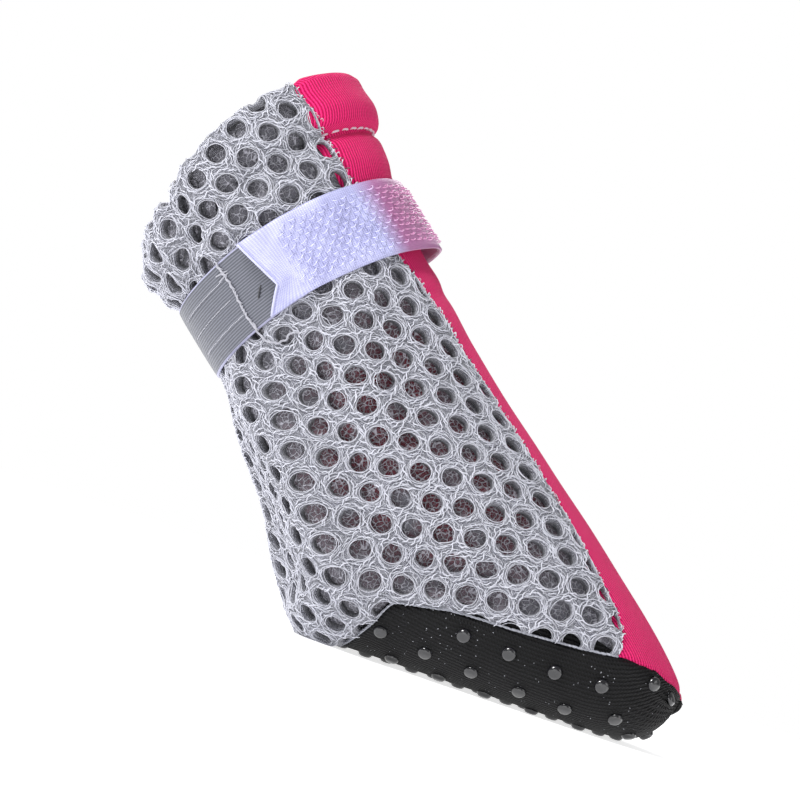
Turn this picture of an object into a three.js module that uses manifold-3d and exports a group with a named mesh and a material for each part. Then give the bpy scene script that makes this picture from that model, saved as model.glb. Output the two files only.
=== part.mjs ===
// A small dog's summer boot, standing empty on its sole. Millimetres, +X towards the toe, +Z up, +Y to the
// far side. The origin is the bottom centre of the boot's box, on the floor.
//
// Everything is cut from one last: a closed form lofted through the sections of LAST. A section is an oval
// in a plane that holds the Y axis, hung between a point on the front line and a point on the sole or back.
import * as THREE from 'three';
import { mergeVertices } from 'three/addons/utils/BufferGeometryUtils.js';
import Module from 'manifold-3d';

const wasm = await Module();
wasm.setup();

// ---------------------------------------------------------------- driving dimensions
const BOOT_LENGTH = 98.0;        // toe tip to the back of the leaning collar
const TOE_X = BOOT_LENGTH / 2;   // where the toe tip stands, so that the box is centred on the origin
const STUD_HEIGHT = 0.6;         // how far the grip dots stand below the sole cloth
const MESH_WALL = 1.8;           // thick air mesh
const PANEL_WALL = 1.6;          // foam-backed stretch knit
const SOLE_WALL = 2.2;           // dotted sole cloth and its backing
const SEAM_GAP = 0.3;            // clearance between sewn neighbours
const RING_POINTS = 44;          // points round one section
const STEPS_PER_SECTION = 2;     // rings between two rows of LAST

// ---------------------------------------------------------------- the last
// frontBack/frontUp is the point of a section on the front line (distance behind the toe tip, height), and
// rearBack/rearUp its point on the sole or the back seam. halfWidth is across. square makes the lower half
// boxy (2 is an oval). sideLift bows the sides of a section on towards the collar. ground is the height
// the cloth rests at: the sole cloth on its dots, the slack heel on the floor itself.
const LAST = [
  { frontBack: 0.4, frontUp: 9.9, rearBack: 1.3, rearUp: 6.0, halfWidth: 5.0, square: 2.0, sideLift: 0, ground: 0.6 },
  { frontBack: 1.6, frontUp: 11.9, rearBack: 3.0, rearUp: 2.9, halfWidth: 10.4, square: 2.2, sideLift: 0, ground: 0.6 },
  { frontBack: 5.4, frontUp: 15.8, rearBack: 6.6, rearUp: 0.8, halfWidth: 15.2, square: 2.8, sideLift: 0, ground: 0.6 },
  { frontBack: 12.2, frontUp: 21.9, rearBack: 13.2, rearUp: 0.0, halfWidth: 18.9, square: 3.2, sideLift: 0, ground: 0.6 },
  { frontBack: 20.4, frontUp: 28.9, rearBack: 23.5, rearUp: 0.0, halfWidth: 20.4, square: 3.2, sideLift: 0, ground: 0.6 },
  { frontBack: 29.6, frontUp: 36.3, rearBack: 35.0, rearUp: 0.0, halfWidth: 20.8, square: 3.0, sideLift: 0, ground: 0.6 },
  { frontBack: 38.4, frontUp: 43.3, rearBack: 47.0, rearUp: 0.0, halfWidth: 20.6, square: 2.7, sideLift: 0, ground: 0.6 },
  { frontBack: 45.7, frontUp: 49.6, rearBack: 57.4, rearUp: 0.4, halfWidth: 20.1, square: 2.4, sideLift: 0, ground: 0 },
  { frontBack: 50.4, frontUp: 54.1, rearBack: 69.6, rearUp: 18.1, halfWidth: 19.4, square: 2.2, sideLift: 0, ground: 0 },
  { frontBack: 54.8, frontUp: 57.6, rearBack: 79.6, rearUp: 32.3, halfWidth: 18.6, square: 2.0, sideLift: 0.3, ground: 0 },
  { frontBack: 62.8, frontUp: 66.4, rearBack: 88.4, rearUp: 40.1, halfWidth: 18.2, square: 2.0, sideLift: 0.8, ground: 0 },
  { frontBack: 68.8, frontUp: 74.3, rearBack: 94.4, rearUp: 42.5, halfWidth: 19.2, square: 2.0, sideLift: 1.9, ground: 0 },
  { frontBack: 75.2, frontUp: 81.7, rearBack: 97.6, rearUp: 46.9, halfWidth: 19.8, square: 2.0, sideLift: 3.4, ground: 0 },
];
const STRAP_SECTIONS = [9, 10];  // the strap lies between these two rows of LAST
const COLLAR_SECTION = LAST.length - 1;

// A Catmull-Rom value of one column of LAST at a place between its rows.
function lastColumn(column, place) {
  const rows = LAST.length;
  const i = Math.min(Math.max(Math.floor(place), 0), rows - 2);
  const t = place - i;
  const value = (k) => {
    if (k < 0) return 2 * LAST[0][column] - LAST[1][column];
    if (k >= rows) return 2 * LAST[rows - 1][column] - LAST[rows - 2][column];
    return LAST[k][column];
  };
  const [a, b, c, d] = [value(i - 1), value(i), value(i + 1), value(i + 2)];
  const bend = 2 * a - 5 * b + 4 * c - d + t * (3 * (b - c) + d - a);
  return b + 0.5 * t * (c - a + t * bend);
}

// The point of the boot's skin at a place along LAST and an angle round the section, moved outwards by
// outset. Angle 0 is the front line, a quarter turn the near side (-Y), half a turn the sole or back seam.
function skinPoint(place, angle, outset) {
  const front = new THREE.Vector2(-lastColumn('frontBack', place), lastColumn('frontUp', place));
  const rear = new THREE.Vector2(-lastColumn('rearBack', place), lastColumn('rearUp', place));
  const along = front.clone().sub(rear);
  const halfHeight = Math.max(along.length() / 2 + outset, 0.4);
  const halfWidth = Math.max(lastColumn('halfWidth', place) + outset, 0.6);
  along.normalize();
  const c = Math.cos(angle);
  const s = Math.sin(angle);
  const power = c < 0 ? 2 / lastColumn('square', place) : 1;
  const up = Math.sign(c) * Math.abs(c) ** power * halfHeight;
  const across = -Math.sign(s) * Math.abs(s) ** power * halfWidth;
  const lift = lastColumn('sideLift', place) * s * s;
  const towardsCollar = new THREE.Vector2(-along.y, along.x);
  const middle = front.add(rear).multiplyScalar(0.5).addScaledVector(along, up);
  middle.addScaledVector(towardsCollar, lift);
  const floor = lastColumn('ground', place) - outset;
  return new THREE.Vector3(TOE_X + middle.x, across, Math.max(middle.y, floor));
}

// ---------------------------------------------------------------- solids
function closedGeometry(points, faces) {
  const position = new Float32Array(points.flatMap((p) => [p.x, p.y, p.z]));
  return new THREE.BufferGeometry()
    .setAttribute('position', new THREE.BufferAttribute(position, 3))
    .setIndex(faces.flat());
}

function toSolid(geometry) {
  const bare = new THREE.BufferGeometry().setAttribute('position', geometry.getAttribute('position'));
  if (geometry.index) bare.setIndex(geometry.index);
  const merged = mergeVertices(bare, 1e-4);
  const triVerts = new Uint32Array(merged.index.array);
  const solid = new wasm.Manifold(
    new wasm.Mesh({ numProp: 3, vertProperties: merged.attributes.position.array, triVerts }),
  );
  if (solid.volume() > 0) return solid;
  const turned = triVerts.map((v, i) => triVerts[i - (i % 3) + ((3 - (i % 3)) % 3)]);
  return new wasm.Manifold(
    new wasm.Mesh({ numProp: 3, vertProperties: merged.attributes.position.array, triVerts: turned }),
  );
}

function toGeometry(solid) {
  const mesh = solid.getMesh();
  const position = new Float32Array(mesh.numVert * 3);
  for (let i = 0; i < mesh.numVert; i += 1) {
    position.set(mesh.vertProperties.subarray(i * mesh.numProp, i * mesh.numProp + 3), i * 3);
  }
  const geometry = new THREE.BufferGeometry()
    .setAttribute('position', new THREE.BufferAttribute(position, 3))
    .setIndex(new THREE.BufferAttribute(mesh.triVerts, 1));
  geometry.computeVertexNormals();
  return geometry;
}

// Rings of points joined into a closed form, with a fan over each end.
function loftedSolid(rings) {
  const around = rings[0].length;
  const points = rings.flat();
  const faces = [];
  for (let r = 0; r + 1 < rings.length; r += 1) {
    for (let k = 0; k < around; k += 1) {
      const a = r * around + k;
      const b = r * around + ((k + 1) % around);
      faces.push([a, b, b + around], [a, b + around, a + around]);
    }
  }
  for (const [ring, flip] of [[0, true], [rings.length - 1, false]]) {
    const centre = rings[ring].reduce((sum, p) => sum.add(p), new THREE.Vector3()).divideScalar(around);
    points.push(centre);
    for (let k = 0; k < around; k += 1) {
      const a = ring * around + k;
      const b = ring * around + ((k + 1) % around);
      faces.push(flip ? [b, a, points.length - 1] : [a, b, points.length - 1]);
    }
  }
  return toSolid(closedGeometry(points, faces));
}

function ringAngles() {
  return Array.from({ length: RING_POINTS }, (_, k) => (2 * Math.PI * k) / RING_POINTS);
}

// The whole last as a solid, grown by outset, from one place along LAST to another.
function lastSolid(outset, fromPlace, toPlace) {
  const steps = Math.round((toPlace - fromPlace) * STEPS_PER_SECTION);
  const rings = [];
  for (let i = 0; i <= steps; i += 1) {
    const place = fromPlace + ((toPlace - fromPlace) * i) / steps;
    rings.push(ringAngles().map((angle) => skinPoint(place, angle, outset)));
  }
  return loftedSolid(rings);
}

const CAVITY_START = 1.5;        // the inside ends a little behind the toe tip
const CAVITY_END = COLLAR_SECTION + 0.5;

// The sewn sock as a wall: the last less a smaller last that runs out through the collar.
function sockWall(thickness) {
  return lastSolid(0, 0, COLLAR_SECTION).subtract(lastSolid(-thickness, CAVITY_START, CAVITY_END));
}

// ---------------------------------------------------------------- cutting forms
// A flat outline, drawn in the plane of two axes, made into a block along the third.
function prism(outline, toWorld, depth) {
  const shape = new THREE.Shape(outline.map(([a, b]) => new THREE.Vector2(a, b)));
  const geometry = new THREE.ExtrudeGeometry(shape, { depth, bevelEnabled: false });
  geometry.applyMatrix4(toWorld);
  return toSolid(geometry);
}

// Where the sole cloth is sewn to the mesh, seen from the side.
const SOLE_SEAM = [
  { back: -3.0, up: 8.0 }, { back: 0.0, up: 8.3 }, { back: 3.0, up: 10.2 }, { back: 7.0, up: 11.7 },
  { back: 12.0, up: 12.0 }, { back: 19.0, up: 11.2 }, { back: 28.0, up: 10.8 }, { back: 38.0, up: 10.5 },
  { back: 45.0, up: 9.2 }, { back: 51.0, up: 6.4 }, { back: 56.0, up: 3.0 },
];
// The sole's outline from below narrows to a rounded tail under the heel.
const SOLE_TAIL = [
  { back: 43.0, half: 24.0 }, { back: 46.0, half: 18.8 }, { back: 48.5, half: 14.4 },
  { back: 50.5, half: 9.6 }, { back: 52.0, half: 5.2 }, { back: 53.0, half: 0.0 },
];
const BLOCK_HALF = 40;           // reach of a cutting block, past every side of the boot

function soleBlock(grow) {
  const side = SOLE_SEAM.map(({ back, up }) => [TOE_X - back, up + grow]);
  side.push([TOE_X - BOOT_LENGTH, -BLOCK_HALF], [TOE_X + BLOCK_HALF, -BLOCK_HALF], [TOE_X + BLOCK_HALF, SOLE_SEAM[0].up + grow]);
  const standUp = new THREE.Matrix4().makeRotationX(Math.PI / 2);
  standUp.premultiply(new THREE.Matrix4().makeTranslation(0, BLOCK_HALF, 0));
  const sideBlock = prism(side, standUp, 2 * BLOCK_HALF);
  const tail = SOLE_TAIL.map(({ back, half }) => [TOE_X - back - grow, half + grow]);
  const mirrored = tail.slice(0, -1).reverse().map(([x, y]) => [x, -y]);
  const below = [[TOE_X + BLOCK_HALF, BLOCK_HALF], ...tail, ...mirrored, [TOE_X + BLOCK_HALF, -BLOCK_HALF]];
  const lift = new THREE.Matrix4().makeTranslation(0, 0, -BLOCK_HALF);
  return sideBlock.intersect(prism(below, lift, 2 * BLOCK_HALF));
}

// Half the width of the front panel, by the distance up the front line from the toe.
const PANEL_WIDTHS = [
  { along: -12, half: 20.0 }, { along: 8, half: 20.0 }, { along: 13, half: 18.8 }, { along: 17, half: 17.6 },
  { along: 22, half: 16.6 }, { along: 28, half: 15.4 }, { along: 36, half: 13.4 }, { along: 46, half: 11.2 },
  { along: 56, half: 9.9 }, { along: 66, half: 10.2 }, { along: 76, half: 12.0 }, { along: 88, half: 13.8 },
  { along: 98, half: 15.6 }, { along: 108, half: 16.8 }, { along: 122, half: 17.2 },
];
const PANEL_LEAN = Math.PI / 4;  // the front line climbs at this angle
const PANEL_FOOT = 5.5;         // height at the toe from which the line is measured
const PANEL_REACH = 11;          // how deep behind the front line its block reaches

function panelBlock(grow) {
  const right = PANEL_WIDTHS.map(({ along, half }) => [along, half + grow]);
  const left = [...right].reverse().map(([along, half]) => [along, -half]);
  const up = new THREE.Vector3(-Math.cos(PANEL_LEAN), 0, Math.sin(PANEL_LEAN));
  const out = new THREE.Vector3(Math.sin(PANEL_LEAN), 0, Math.cos(PANEL_LEAN));
  const across = new THREE.Vector3().crossVectors(out, up);
  const toWorld = new THREE.Matrix4().makeBasis(up, across, out);
  const foot = new THREE.Vector3(TOE_X, 0, PANEL_FOOT).addScaledVector(out, -PANEL_REACH);
  toWorld.setPosition(foot);
  return prism([...right, ...left], toWorld, BLOCK_HALF);
}

// ---------------------------------------------------------------- the sewn pieces
function makeUpper() {
  return sockWall(MESH_WALL).subtract(soleBlock(SEAM_GAP)).subtract(panelBlock(SEAM_GAP));
}

function makeFrontPanel() {
  return sockWall(PANEL_WALL).intersect(panelBlock(0)).subtract(soleBlock(SEAM_GAP));
}

// Grip dots in staggered rows under the flat of the sole.
const STUD_RADIUS = 1.1;
const STUD_TIP_RADIUS = 0.9;
const STUD_PITCH = 7.2;
const STUD_ROOT = 0.5;           // how far a dot is keyed into the cloth
// Each row lies this far to both sides of the middle, and starts this far behind the toe.
const STUD_ROWS = [
  { across: 0.0, firstBack: 7.2, count: 7 },
  { across: 5.6, firstBack: 10.8, count: 5 },
  { across: 11.2, firstBack: 14.4, count: 3 },
];

function studAt(x, y) {
  const profile = [
    new THREE.Vector2(0, 0),
    new THREE.Vector2(STUD_TIP_RADIUS, 0),
    new THREE.Vector2(STUD_RADIUS, STUD_HEIGHT * 0.55),
    new THREE.Vector2(STUD_RADIUS, STUD_HEIGHT + STUD_ROOT),
    new THREE.Vector2(0, STUD_HEIGHT + STUD_ROOT),
  ];
  const stud = new THREE.LatheGeometry(profile, 10);
  stud.rotateX(Math.PI / 2).translate(x, y, 0);
  return toSolid(stud);
}

function makeOutsole() {
  let sole = sockWall(SOLE_WALL).intersect(soleBlock(0));
  for (const { across, firstBack, count } of STUD_ROWS) {
    for (let i = 0; i < count; i += 1) {
      const x = TOE_X - firstBack - i * STUD_PITCH;
      sole = sole.add(studAt(x, across));
      if (across > 0) sole = sole.add(studAt(x, -across));
    }
  }
  return sole;
}

// The strap sits a little above its two rows of LAST, and highest over the front.
function strapShift(angle) {
  return 0.1 + 0.11 * (1 + Math.cos(angle)) + 0.1 * Math.sin(angle) ** 2;
}

// A tape wrapped on the ankle: a bent strip from one angle to another. standing places it off the skin at
// each angle, and flare is how far its lower edge stands further out over the front line.
function tapeSolid(fromAngle, toAngle, steps, thickness, standing, flare) {
  const rings = [];
  for (let i = 0; i <= steps; i += 1) {
    const angle = fromAngle + ((toAngle - fromAngle) * i) / steps;
    const [low, high] = STRAP_SECTIONS.map((row) => row + strapShift(angle));
    const base = standing(angle);
    const lowBase = base + flare * Math.max(Math.cos(angle), 0) ** 2;
    rings.push([
      skinPoint(low, angle, lowBase),
      skinPoint(high, angle, base),
      skinPoint(high, angle, base + thickness),
      skinPoint(low, angle, lowBase + thickness),
    ]);
  }
  return loftedSolid(rings);
}

const degrees = THREE.MathUtils.degToRad;
const smooth = (value, from, to) => THREE.MathUtils.smoothstep(value, from, to);
const TAPE_THICKNESS = 0.8;
const TAPE_STANDING = 0.4;       // the tape lies this far off the mesh
const TAPE_LAYER = TAPE_THICKNESS + SEAM_GAP;
const HOOK_FLARE = 1.8;          // the hook tape's lower edge curls clear of the front panel
// Angles round the ankle where tapes end, from the front line towards the near side.
const HOOK_END = 114;
const GREY_NEAR_END = 97;
const GREY_FAR_END = 256;
const HOOK_FAR_END = -116;

function makeGreyTape() {
  const standing = () => TAPE_STANDING;
  return tapeSolid(degrees(GREY_NEAR_END), degrees(GREY_FAR_END), 24, TAPE_THICKNESS, standing, 0);
}

// The hook tape steps up over the grey tape's end on each side.
function makeHookTape() {
  const standing = (angle) => {
    const turn = THREE.MathUtils.radToDeg(Math.abs(angle));
    return TAPE_STANDING + TAPE_LAYER * smooth(turn, GREY_NEAR_END - 16, GREY_NEAR_END - 2);
  };
  return tapeSolid(degrees(HOOK_FAR_END), degrees(HOOK_END), 36, TAPE_THICKNESS, standing, HOOK_FLARE);
}

// ---------------------------------------------------------------- the boot
const MATERIALS = {
  mesh: new THREE.MeshStandardMaterial({ color: '#b9bbc3', roughness: 0.85, metalness: 0 }),
  pink: new THREE.MeshStandardMaterial({ color: '#e8195f', roughness: 0.75, metalness: 0 }),
  black: new THREE.MeshStandardMaterial({ color: '#17171b', roughness: 0.6, metalness: 0 }),
  grey: new THREE.MeshStandardMaterial({ color: '#8b9097', roughness: 0.45, metalness: 0 }),
  white: new THREE.MeshStandardMaterial({ color: '#cfd0ec', roughness: 0.5, metalness: 0 }),
};

function part(name, solid, material) {
  const mesh = new THREE.Mesh(toGeometry(solid), material);
  mesh.name = name;
  return mesh;
}

const boot = new THREE.Group();
boot.name = 'dog_boot';
boot.add(part('upper', makeUpper(), MATERIALS.mesh));
boot.add(part('front_panel', makeFrontPanel(), MATERIALS.pink));
boot.add(part('outsole', makeOutsole(), MATERIALS.black));
boot.add(part('strap_reflective', makeGreyTape(), MATERIALS.grey));
boot.add(part('strap_hook', makeHookTape(), MATERIALS.white));

export default boot;
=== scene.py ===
# %% [markdown]
# # A small dog boot: mesh, stretch knit, hook tape and a dotted sole
# The CAD frame holds the boot's true shape as hollow walls. Here every wall gets its cloth: a net with real
# holes, a pink knit panel, a black dotted sole and two tapes round the ankle. All lengths are in millimetres
# until a mesh is made, because that is how a pattern cutter thinks; `MM` turns them into Blender's metres.

# %% Open the frame
import math

import bpy
import numpy as np
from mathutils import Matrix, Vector
from mathutils.kdtree import KDTree


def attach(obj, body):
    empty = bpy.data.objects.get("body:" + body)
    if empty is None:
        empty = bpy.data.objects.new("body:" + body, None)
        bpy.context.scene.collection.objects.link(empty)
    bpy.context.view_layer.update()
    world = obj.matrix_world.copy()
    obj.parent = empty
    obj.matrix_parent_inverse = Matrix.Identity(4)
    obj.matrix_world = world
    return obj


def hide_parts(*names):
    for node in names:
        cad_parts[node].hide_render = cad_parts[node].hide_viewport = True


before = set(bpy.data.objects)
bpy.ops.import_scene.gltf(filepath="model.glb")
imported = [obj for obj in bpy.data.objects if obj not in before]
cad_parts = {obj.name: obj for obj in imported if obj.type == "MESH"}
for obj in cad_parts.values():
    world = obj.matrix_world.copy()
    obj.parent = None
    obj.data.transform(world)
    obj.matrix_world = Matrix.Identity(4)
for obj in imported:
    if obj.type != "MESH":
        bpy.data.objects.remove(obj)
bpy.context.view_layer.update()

MM = 0.001

# %% [markdown]
# ## The last
# A shoe is built on a last, a solid foot-like form. This one is a short table of oval sections that fan from
# the toe to the leaning collar, the same sizes as the CAD part. A smooth curve runs through each column, so
# any place between two rows has a section too.

# %% Sections of the last
TOE_X = 49.0
COLUMNS = ("front_back", "front_up", "rear_back", "rear_up", "half_width", "square", "side_lift", "ground")
LAST = np.array([
    (0.4, 9.9, 1.3, 6.0, 5.0, 2.0, 0.0, 0.6),
    (1.6, 11.9, 3.0, 2.9, 10.4, 2.2, 0.0, 0.6),
    (5.4, 15.8, 6.6, 0.8, 15.2, 2.8, 0.0, 0.6),
    (12.2, 21.9, 13.2, 0.0, 18.9, 3.2, 0.0, 0.6),
    (20.4, 28.9, 23.5, 0.0, 20.4, 3.2, 0.0, 0.6),
    (29.6, 36.3, 35.0, 0.0, 20.8, 3.0, 0.0, 0.6),
    (38.4, 43.3, 47.0, 0.0, 20.6, 2.7, 0.0, 0.6),
    (45.7, 49.6, 57.4, 0.4, 20.1, 2.4, 0.0, 0.0),
    (50.4, 54.1, 69.6, 18.1, 19.4, 2.2, 0.0, 0.0),
    (54.8, 57.6, 79.6, 32.3, 18.6, 2.0, 0.3, 0.0),
    (62.8, 66.4, 88.4, 40.1, 18.2, 2.0, 0.8, 0.0),
    (68.8, 74.3, 94.4, 42.5, 19.2, 2.0, 1.9, 0.0),
    (75.2, 81.7, 97.6, 46.9, 19.8, 2.0, 3.4, 0.0),
])
COLLAR = len(LAST) - 1
NOSE = 0.5          # how far the closed tip of the toe goes on before the first row
NOSE_DROP = 1.1


def column(name, place):
    """One column of the table, read at any place between its rows along a smooth curve."""
    v = LAST[:, COLUMNS.index(name)]
    v = np.concatenate([[2 * v[0] - v[1]], v, [2 * v[-1] - v[-2]]])
    place = np.asarray(place, float)
    i = np.clip(np.floor(place).astype(int), 0, len(LAST) - 2)
    t = place - i
    a, b, c, d = v[i], v[i + 1], v[i + 2], v[i + 3]
    return b + 0.5 * t * (c - a + t * (2 * a - 5 * b + 4 * c - d + t * (3 * (b - c) + d - a)))


def smooth(value, low, high):
    """A soft step from 0 below low to 1 above high."""
    t = np.clip((value - low) / (high - low), 0.0, 1.0)
    return t * t * (3 - 2 * t)


def section(place):
    """Front point, rear point, unit vector up the section and the one towards the collar, all in (x, z)."""
    front = np.stack([TOE_X - column("front_back", place), column("front_up", place)], -1)
    rear = np.stack([TOE_X - column("rear_back", place), column("rear_up", place)], -1)
    along = front - rear
    along = along / np.linalg.norm(along, axis=-1, keepdims=True)
    return front, rear, along, np.stack([-along[..., 1], along[..., 0]], -1)


def last_point(place, angle):
    """A point of the last. Angle 0 is the front line and a quarter turn the near side, which is -Y."""
    place, angle = np.broadcast_arrays(np.asarray(place, float), np.asarray(angle, float))
    inside = np.clip(place, 0, COLLAR)
    front, rear, along, ahead = section(inside)
    nose = np.clip(-place, 0, NOSE)
    shrink = np.cos(nose * math.pi)
    half_height = np.linalg.norm(front - rear, axis=-1) / 2 * shrink
    half_width = column("half_width", inside) * shrink
    c, s = np.cos(angle), np.sin(angle)
    power = np.where(c < 0, 2 / column("square", inside), 1.0)
    up = np.sign(c) * np.abs(c) ** power * half_height
    across = -np.sign(s) * np.abs(s) ** power * half_width
    lift = column("side_lift", inside) * s * s - NOSE_DROP * np.sin(nose * math.pi)
    middle = (front + rear) / 2 + along * up[..., None] + ahead * lift[..., None]
    z = np.maximum(middle[..., 1], column("ground", inside))
    return np.stack([middle[..., 0], across, z], -1)


print("collar top at", last_point(COLLAR, 0.0).round(1), "heel at", last_point(7.0, math.pi).round(1))

# %% [markdown]
# ## Folds in the cloth
# Slack cloth shows a few main folds: the ridge where the side panel turns round the heel,
# the dents behind it, and the roll of the hem at the collar. Each is a soft trough or ridge along a short
# path, seen from the side. Making them part of one height function keeps every layer of cloth in step.

# %% The folds
FOLDS = [  # side -1 near, 1 far, 0 both; path of (back, up); width across the fold; height out
    dict(side=-1, path=[(78, 35.5), (66, 23), (56, 12), (50, 7.5)], width=2.3, height=2.1),
    dict(side=-1, path=[(80, 30.5), (70, 17), (61, 7)], width=2.4, height=-2.0),
    dict(side=-1, path=[(71, 39.5), (62, 29.5), (55, 23.5)], width=2.8, height=-1.5),
    dict(side=-1, path=[(60, 49.5), (55, 40.5), (51, 33.5)], width=2.8, height=-0.9),
    dict(side=-1, path=[(52, 19.5), (44, 15), (36, 14.5)], width=3.6, height=-1.2),
    dict(side=-1, path=[(47, 11.5), (36, 11), (24, 12)], width=2.2, height=0.7),
    dict(side=1, path=[(77, 35.5), (68, 24.5), (60, 15.5), (53, 8.5)], width=2.6, height=1.7),
    dict(side=1, path=[(72, 38.5), (60, 30.5), (50, 26.5)], width=3.0, height=-1.4),
    dict(side=1, path=[(81, 30.5), (71, 17.5), (62, 7.5)], width=2.5, height=-1.8),
    dict(side=1, path=[(46, 16.5), (36, 15.5), (28, 17.5)], width=3.4, height=-1.0),
    dict(side=0, path=[(96, 54.5), (91, 49.5), (88, 45.5)], width=2.0, height=-1.3),
    dict(side=-1, path=[(91, 68.5), (85, 62.5), (82, 54.5)], width=2.0, height=-1.3),
    dict(side=-1, path=[(86, 64.5), (81, 57.5), (79, 50.5)], width=1.9, height=0.9),
    dict(side=1, path=[(86, 72.5), (80, 64.5), (77, 57.5)], width=2.2, height=-1.3),
]


def path_distance(x, z, path):
    """How far points lie from a path of straight pieces, seen from the side."""
    best = np.full(np.shape(x), 1e9)
    for (b0, u0), (b1, u1) in zip(path[:-1], path[1:]):
        ax, az, dx, dz = TOE_X - b0, u0, b0 - b1, u1 - u0
        t = np.clip(((x - ax) * dx + (z - az) * dz) / (dx * dx + dz * dz), 0, 1)
        best = np.minimum(best, np.hypot(x - ax - dx * t, z - az - dz * t))
    return best


def bell(value, centre, width):
    """A soft hill of height 1 round a centre."""
    return np.exp(-((value - centre) / width) ** 2)


# %% [markdown]
# ## The skin
# The hem and the strap press the cloth in and push it out beside them. The skin adds all of this to the last,
# so one function gives any layer of the boot: the net, its backing or the sole differ only by their height.
# It could also be sculpted by hand, but then the layers would have to be fitted to each other.

# %% Hem and strap lines
HEM = 11.2                      # place of the hem's stitch line on the last
STRAP_LOW, STRAP_HIGH = 9.0, 10.0
STRAP_MIDDLE = (STRAP_LOW + STRAP_HIGH) / 2


def hem_place(angle):
    """Where the hem's stitch line lies along the last; it dips towards the back."""
    return HEM - 0.35 * ((1 - np.cos(angle)) / 2) ** 3


def strap_shift(angle):
    """The strap sits a little above its two rows of the table, and highest over the front."""
    return 0.1 + 0.11 * (1 + np.cos(angle)) + 0.1 * np.sin(angle) ** 2


# %% Height of the slack cloth
def relief(place, angle):
    """How far the slack cloth stands off the last, in millimetres."""
    p = last_point(place, angle)
    x, y, z = p[..., 0], p[..., 1], p[..., 2]
    out = np.zeros(x.shape)
    for f in FOLDS:
        side = 1.0 if f["side"] == 0 else smooth(y * f["side"], 0.0, 7.0)
        out = out + side * f["height"] * bell(path_distance(x, z, f["path"]), 0, f["width"])
    slack = np.sin(0.31 * x + 0.23 * z + 1.3 * np.sin(0.17 * y)) * np.sin(0.27 * z - 0.19 * x + 0.7 * y * 0.1)
    out = out + 0.35 * slack * smooth(z, 3, 12) * (1 - 0.85 * smooth(np.cos(angle), 0.1, 0.7))
    below = place - hem_place(angle)
    front = smooth(np.cos(angle), 0.0, 0.8)
    out = out - (0.5 + 0.25 * front) * bell(below, 0, 0.1)
    out = out + (0.5 + 0.2 * front) * bell(below, 0.38, 0.24)
    out = out + 0.15 * bell(below, -0.35, 0.25)
    on_strap = place - strap_shift(angle)
    near_strap = smooth(on_strap, 8.7, 9.0) * (1 - smooth(on_strap, 10.0, 10.25))
    out = out * (1 - 0.93 * near_strap) + 0.5 * bell(on_strap, 8.6, 0.3)
    out = out + (0.55 - 0.4 * front) * bell(on_strap, 10.35, 0.16)
    return out * smooth(z, 0.6, 4.0)


# %% The skin
STEP = 0.02        # how far apart two points are taken to find a direction
LIP_RADIUS = 0.9   # half the thickness of the folded edge
LIP_SCALE = 10.0   # millimetres of cloth in one unit of place past the collar
LOWEST = 0.03      # nothing goes through the floor


def middle_of(place):
    """The middle of a section."""
    front, rear, _, _ = section(np.clip(place, 0, COLLAR))
    mid = (front + rear) / 2
    return np.stack([mid[..., 0], np.zeros(np.shape(mid[..., 0])), mid[..., 1]], -1)


def skin(place, angle, height=0.0):
    """The cloth's surface: the last, its folds and a height along the normal. Past the collar's edge the
    cloth folds over a round lip and runs down inside."""
    place, angle = np.broadcast_arrays(np.asarray(place, float), np.asarray(angle, float))
    at = np.minimum(place, COLLAR)
    base = last_point(at, angle)
    above = np.minimum(at + STEP, COLLAR)
    ahead = last_point(above, angle) - last_point(above - 2 * STEP, angle)
    round_it = last_point(at, angle + STEP) - last_point(at, angle - STEP)
    out = np.cross(ahead, round_it)
    out /= np.linalg.norm(out, axis=-1, keepdims=True) + 1e-9
    ahead /= np.linalg.norm(ahead, axis=-1, keepdims=True) + 1e-9
    flip = np.sum(out * (base - middle_of(at)), -1) < 0
    out[flip] *= -1
    over = np.maximum(place - COLLAR, 0) * LIP_SCALE
    turn = np.minimum(over / LIP_RADIUS, math.pi)
    down = np.maximum(over - math.pi * LIP_RADIUS, 0)
    normal = out * np.cos(turn)[..., None] + ahead * np.sin(turn)[..., None]
    centre = base + out * (relief(at, angle) - np.where(over > 0, LIP_RADIUS, 0))[..., None]
    point = centre + normal * (np.asarray(height) + np.where(over > 0, LIP_RADIUS, 0))[..., None]
    point = point - ahead * down[..., None]
    point[..., 2] = np.maximum(point[..., 2], LOWEST)
    return point


# %% [markdown]
# ## Where one cloth ends and the next begins
# The pink panel runs down the front and widens at the toe and the collar. The sole cloth is a cup whose edge
# is highest at the toe and which narrows to a tail under the heel. Both edges are found here as an angle
# round each section, so that the net, the panel and the cup are cut along the same lines.

# %% Seam lines
PANEL = np.array([  # distance up the front line, half width
    (-12, 20.0), (8, 20.0), (13, 18.8), (17, 17.6), (22, 16.6), (28, 15.4), (36, 13.4), (46, 11.2),
    (56, 9.9), (66, 10.2), (76, 12.0), (88, 13.8), (98, 15.6), (108, 16.8), (122, 17.2)])
SOLE_SEAM = np.array([  # distance back from the toe, height
    (-3.0, 8.0), (0.0, 8.3), (3.0, 10.2), (7.0, 11.7), (12.0, 12.0), (19.0, 11.2),
    (28.0, 10.8), (38.0, 10.5), (45.0, 9.2), (51.0, 6.4), (56.0, 3.0)])
SOLE_TAIL = np.array([  # distance back from the toe, half width of the cup
    (43.0, 24.0), (46.0, 18.8), (48.5, 14.4), (50.5, 9.6), (52.0, 5.2), (53.0, 0.0)])


PANEL_FOOT = 5.5   # height above the floor at which the panel's own length begins, at the toe


def panel_inside(p):
    """How far a point lies inside the front panel's edge."""
    up = ((TOE_X - p[..., 0]) + (p[..., 2] - PANEL_FOOT)) * math.sqrt(0.5)
    return np.interp(up, PANEL[:, 0], PANEL[:, 1]) - np.abs(p[..., 1])


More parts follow.
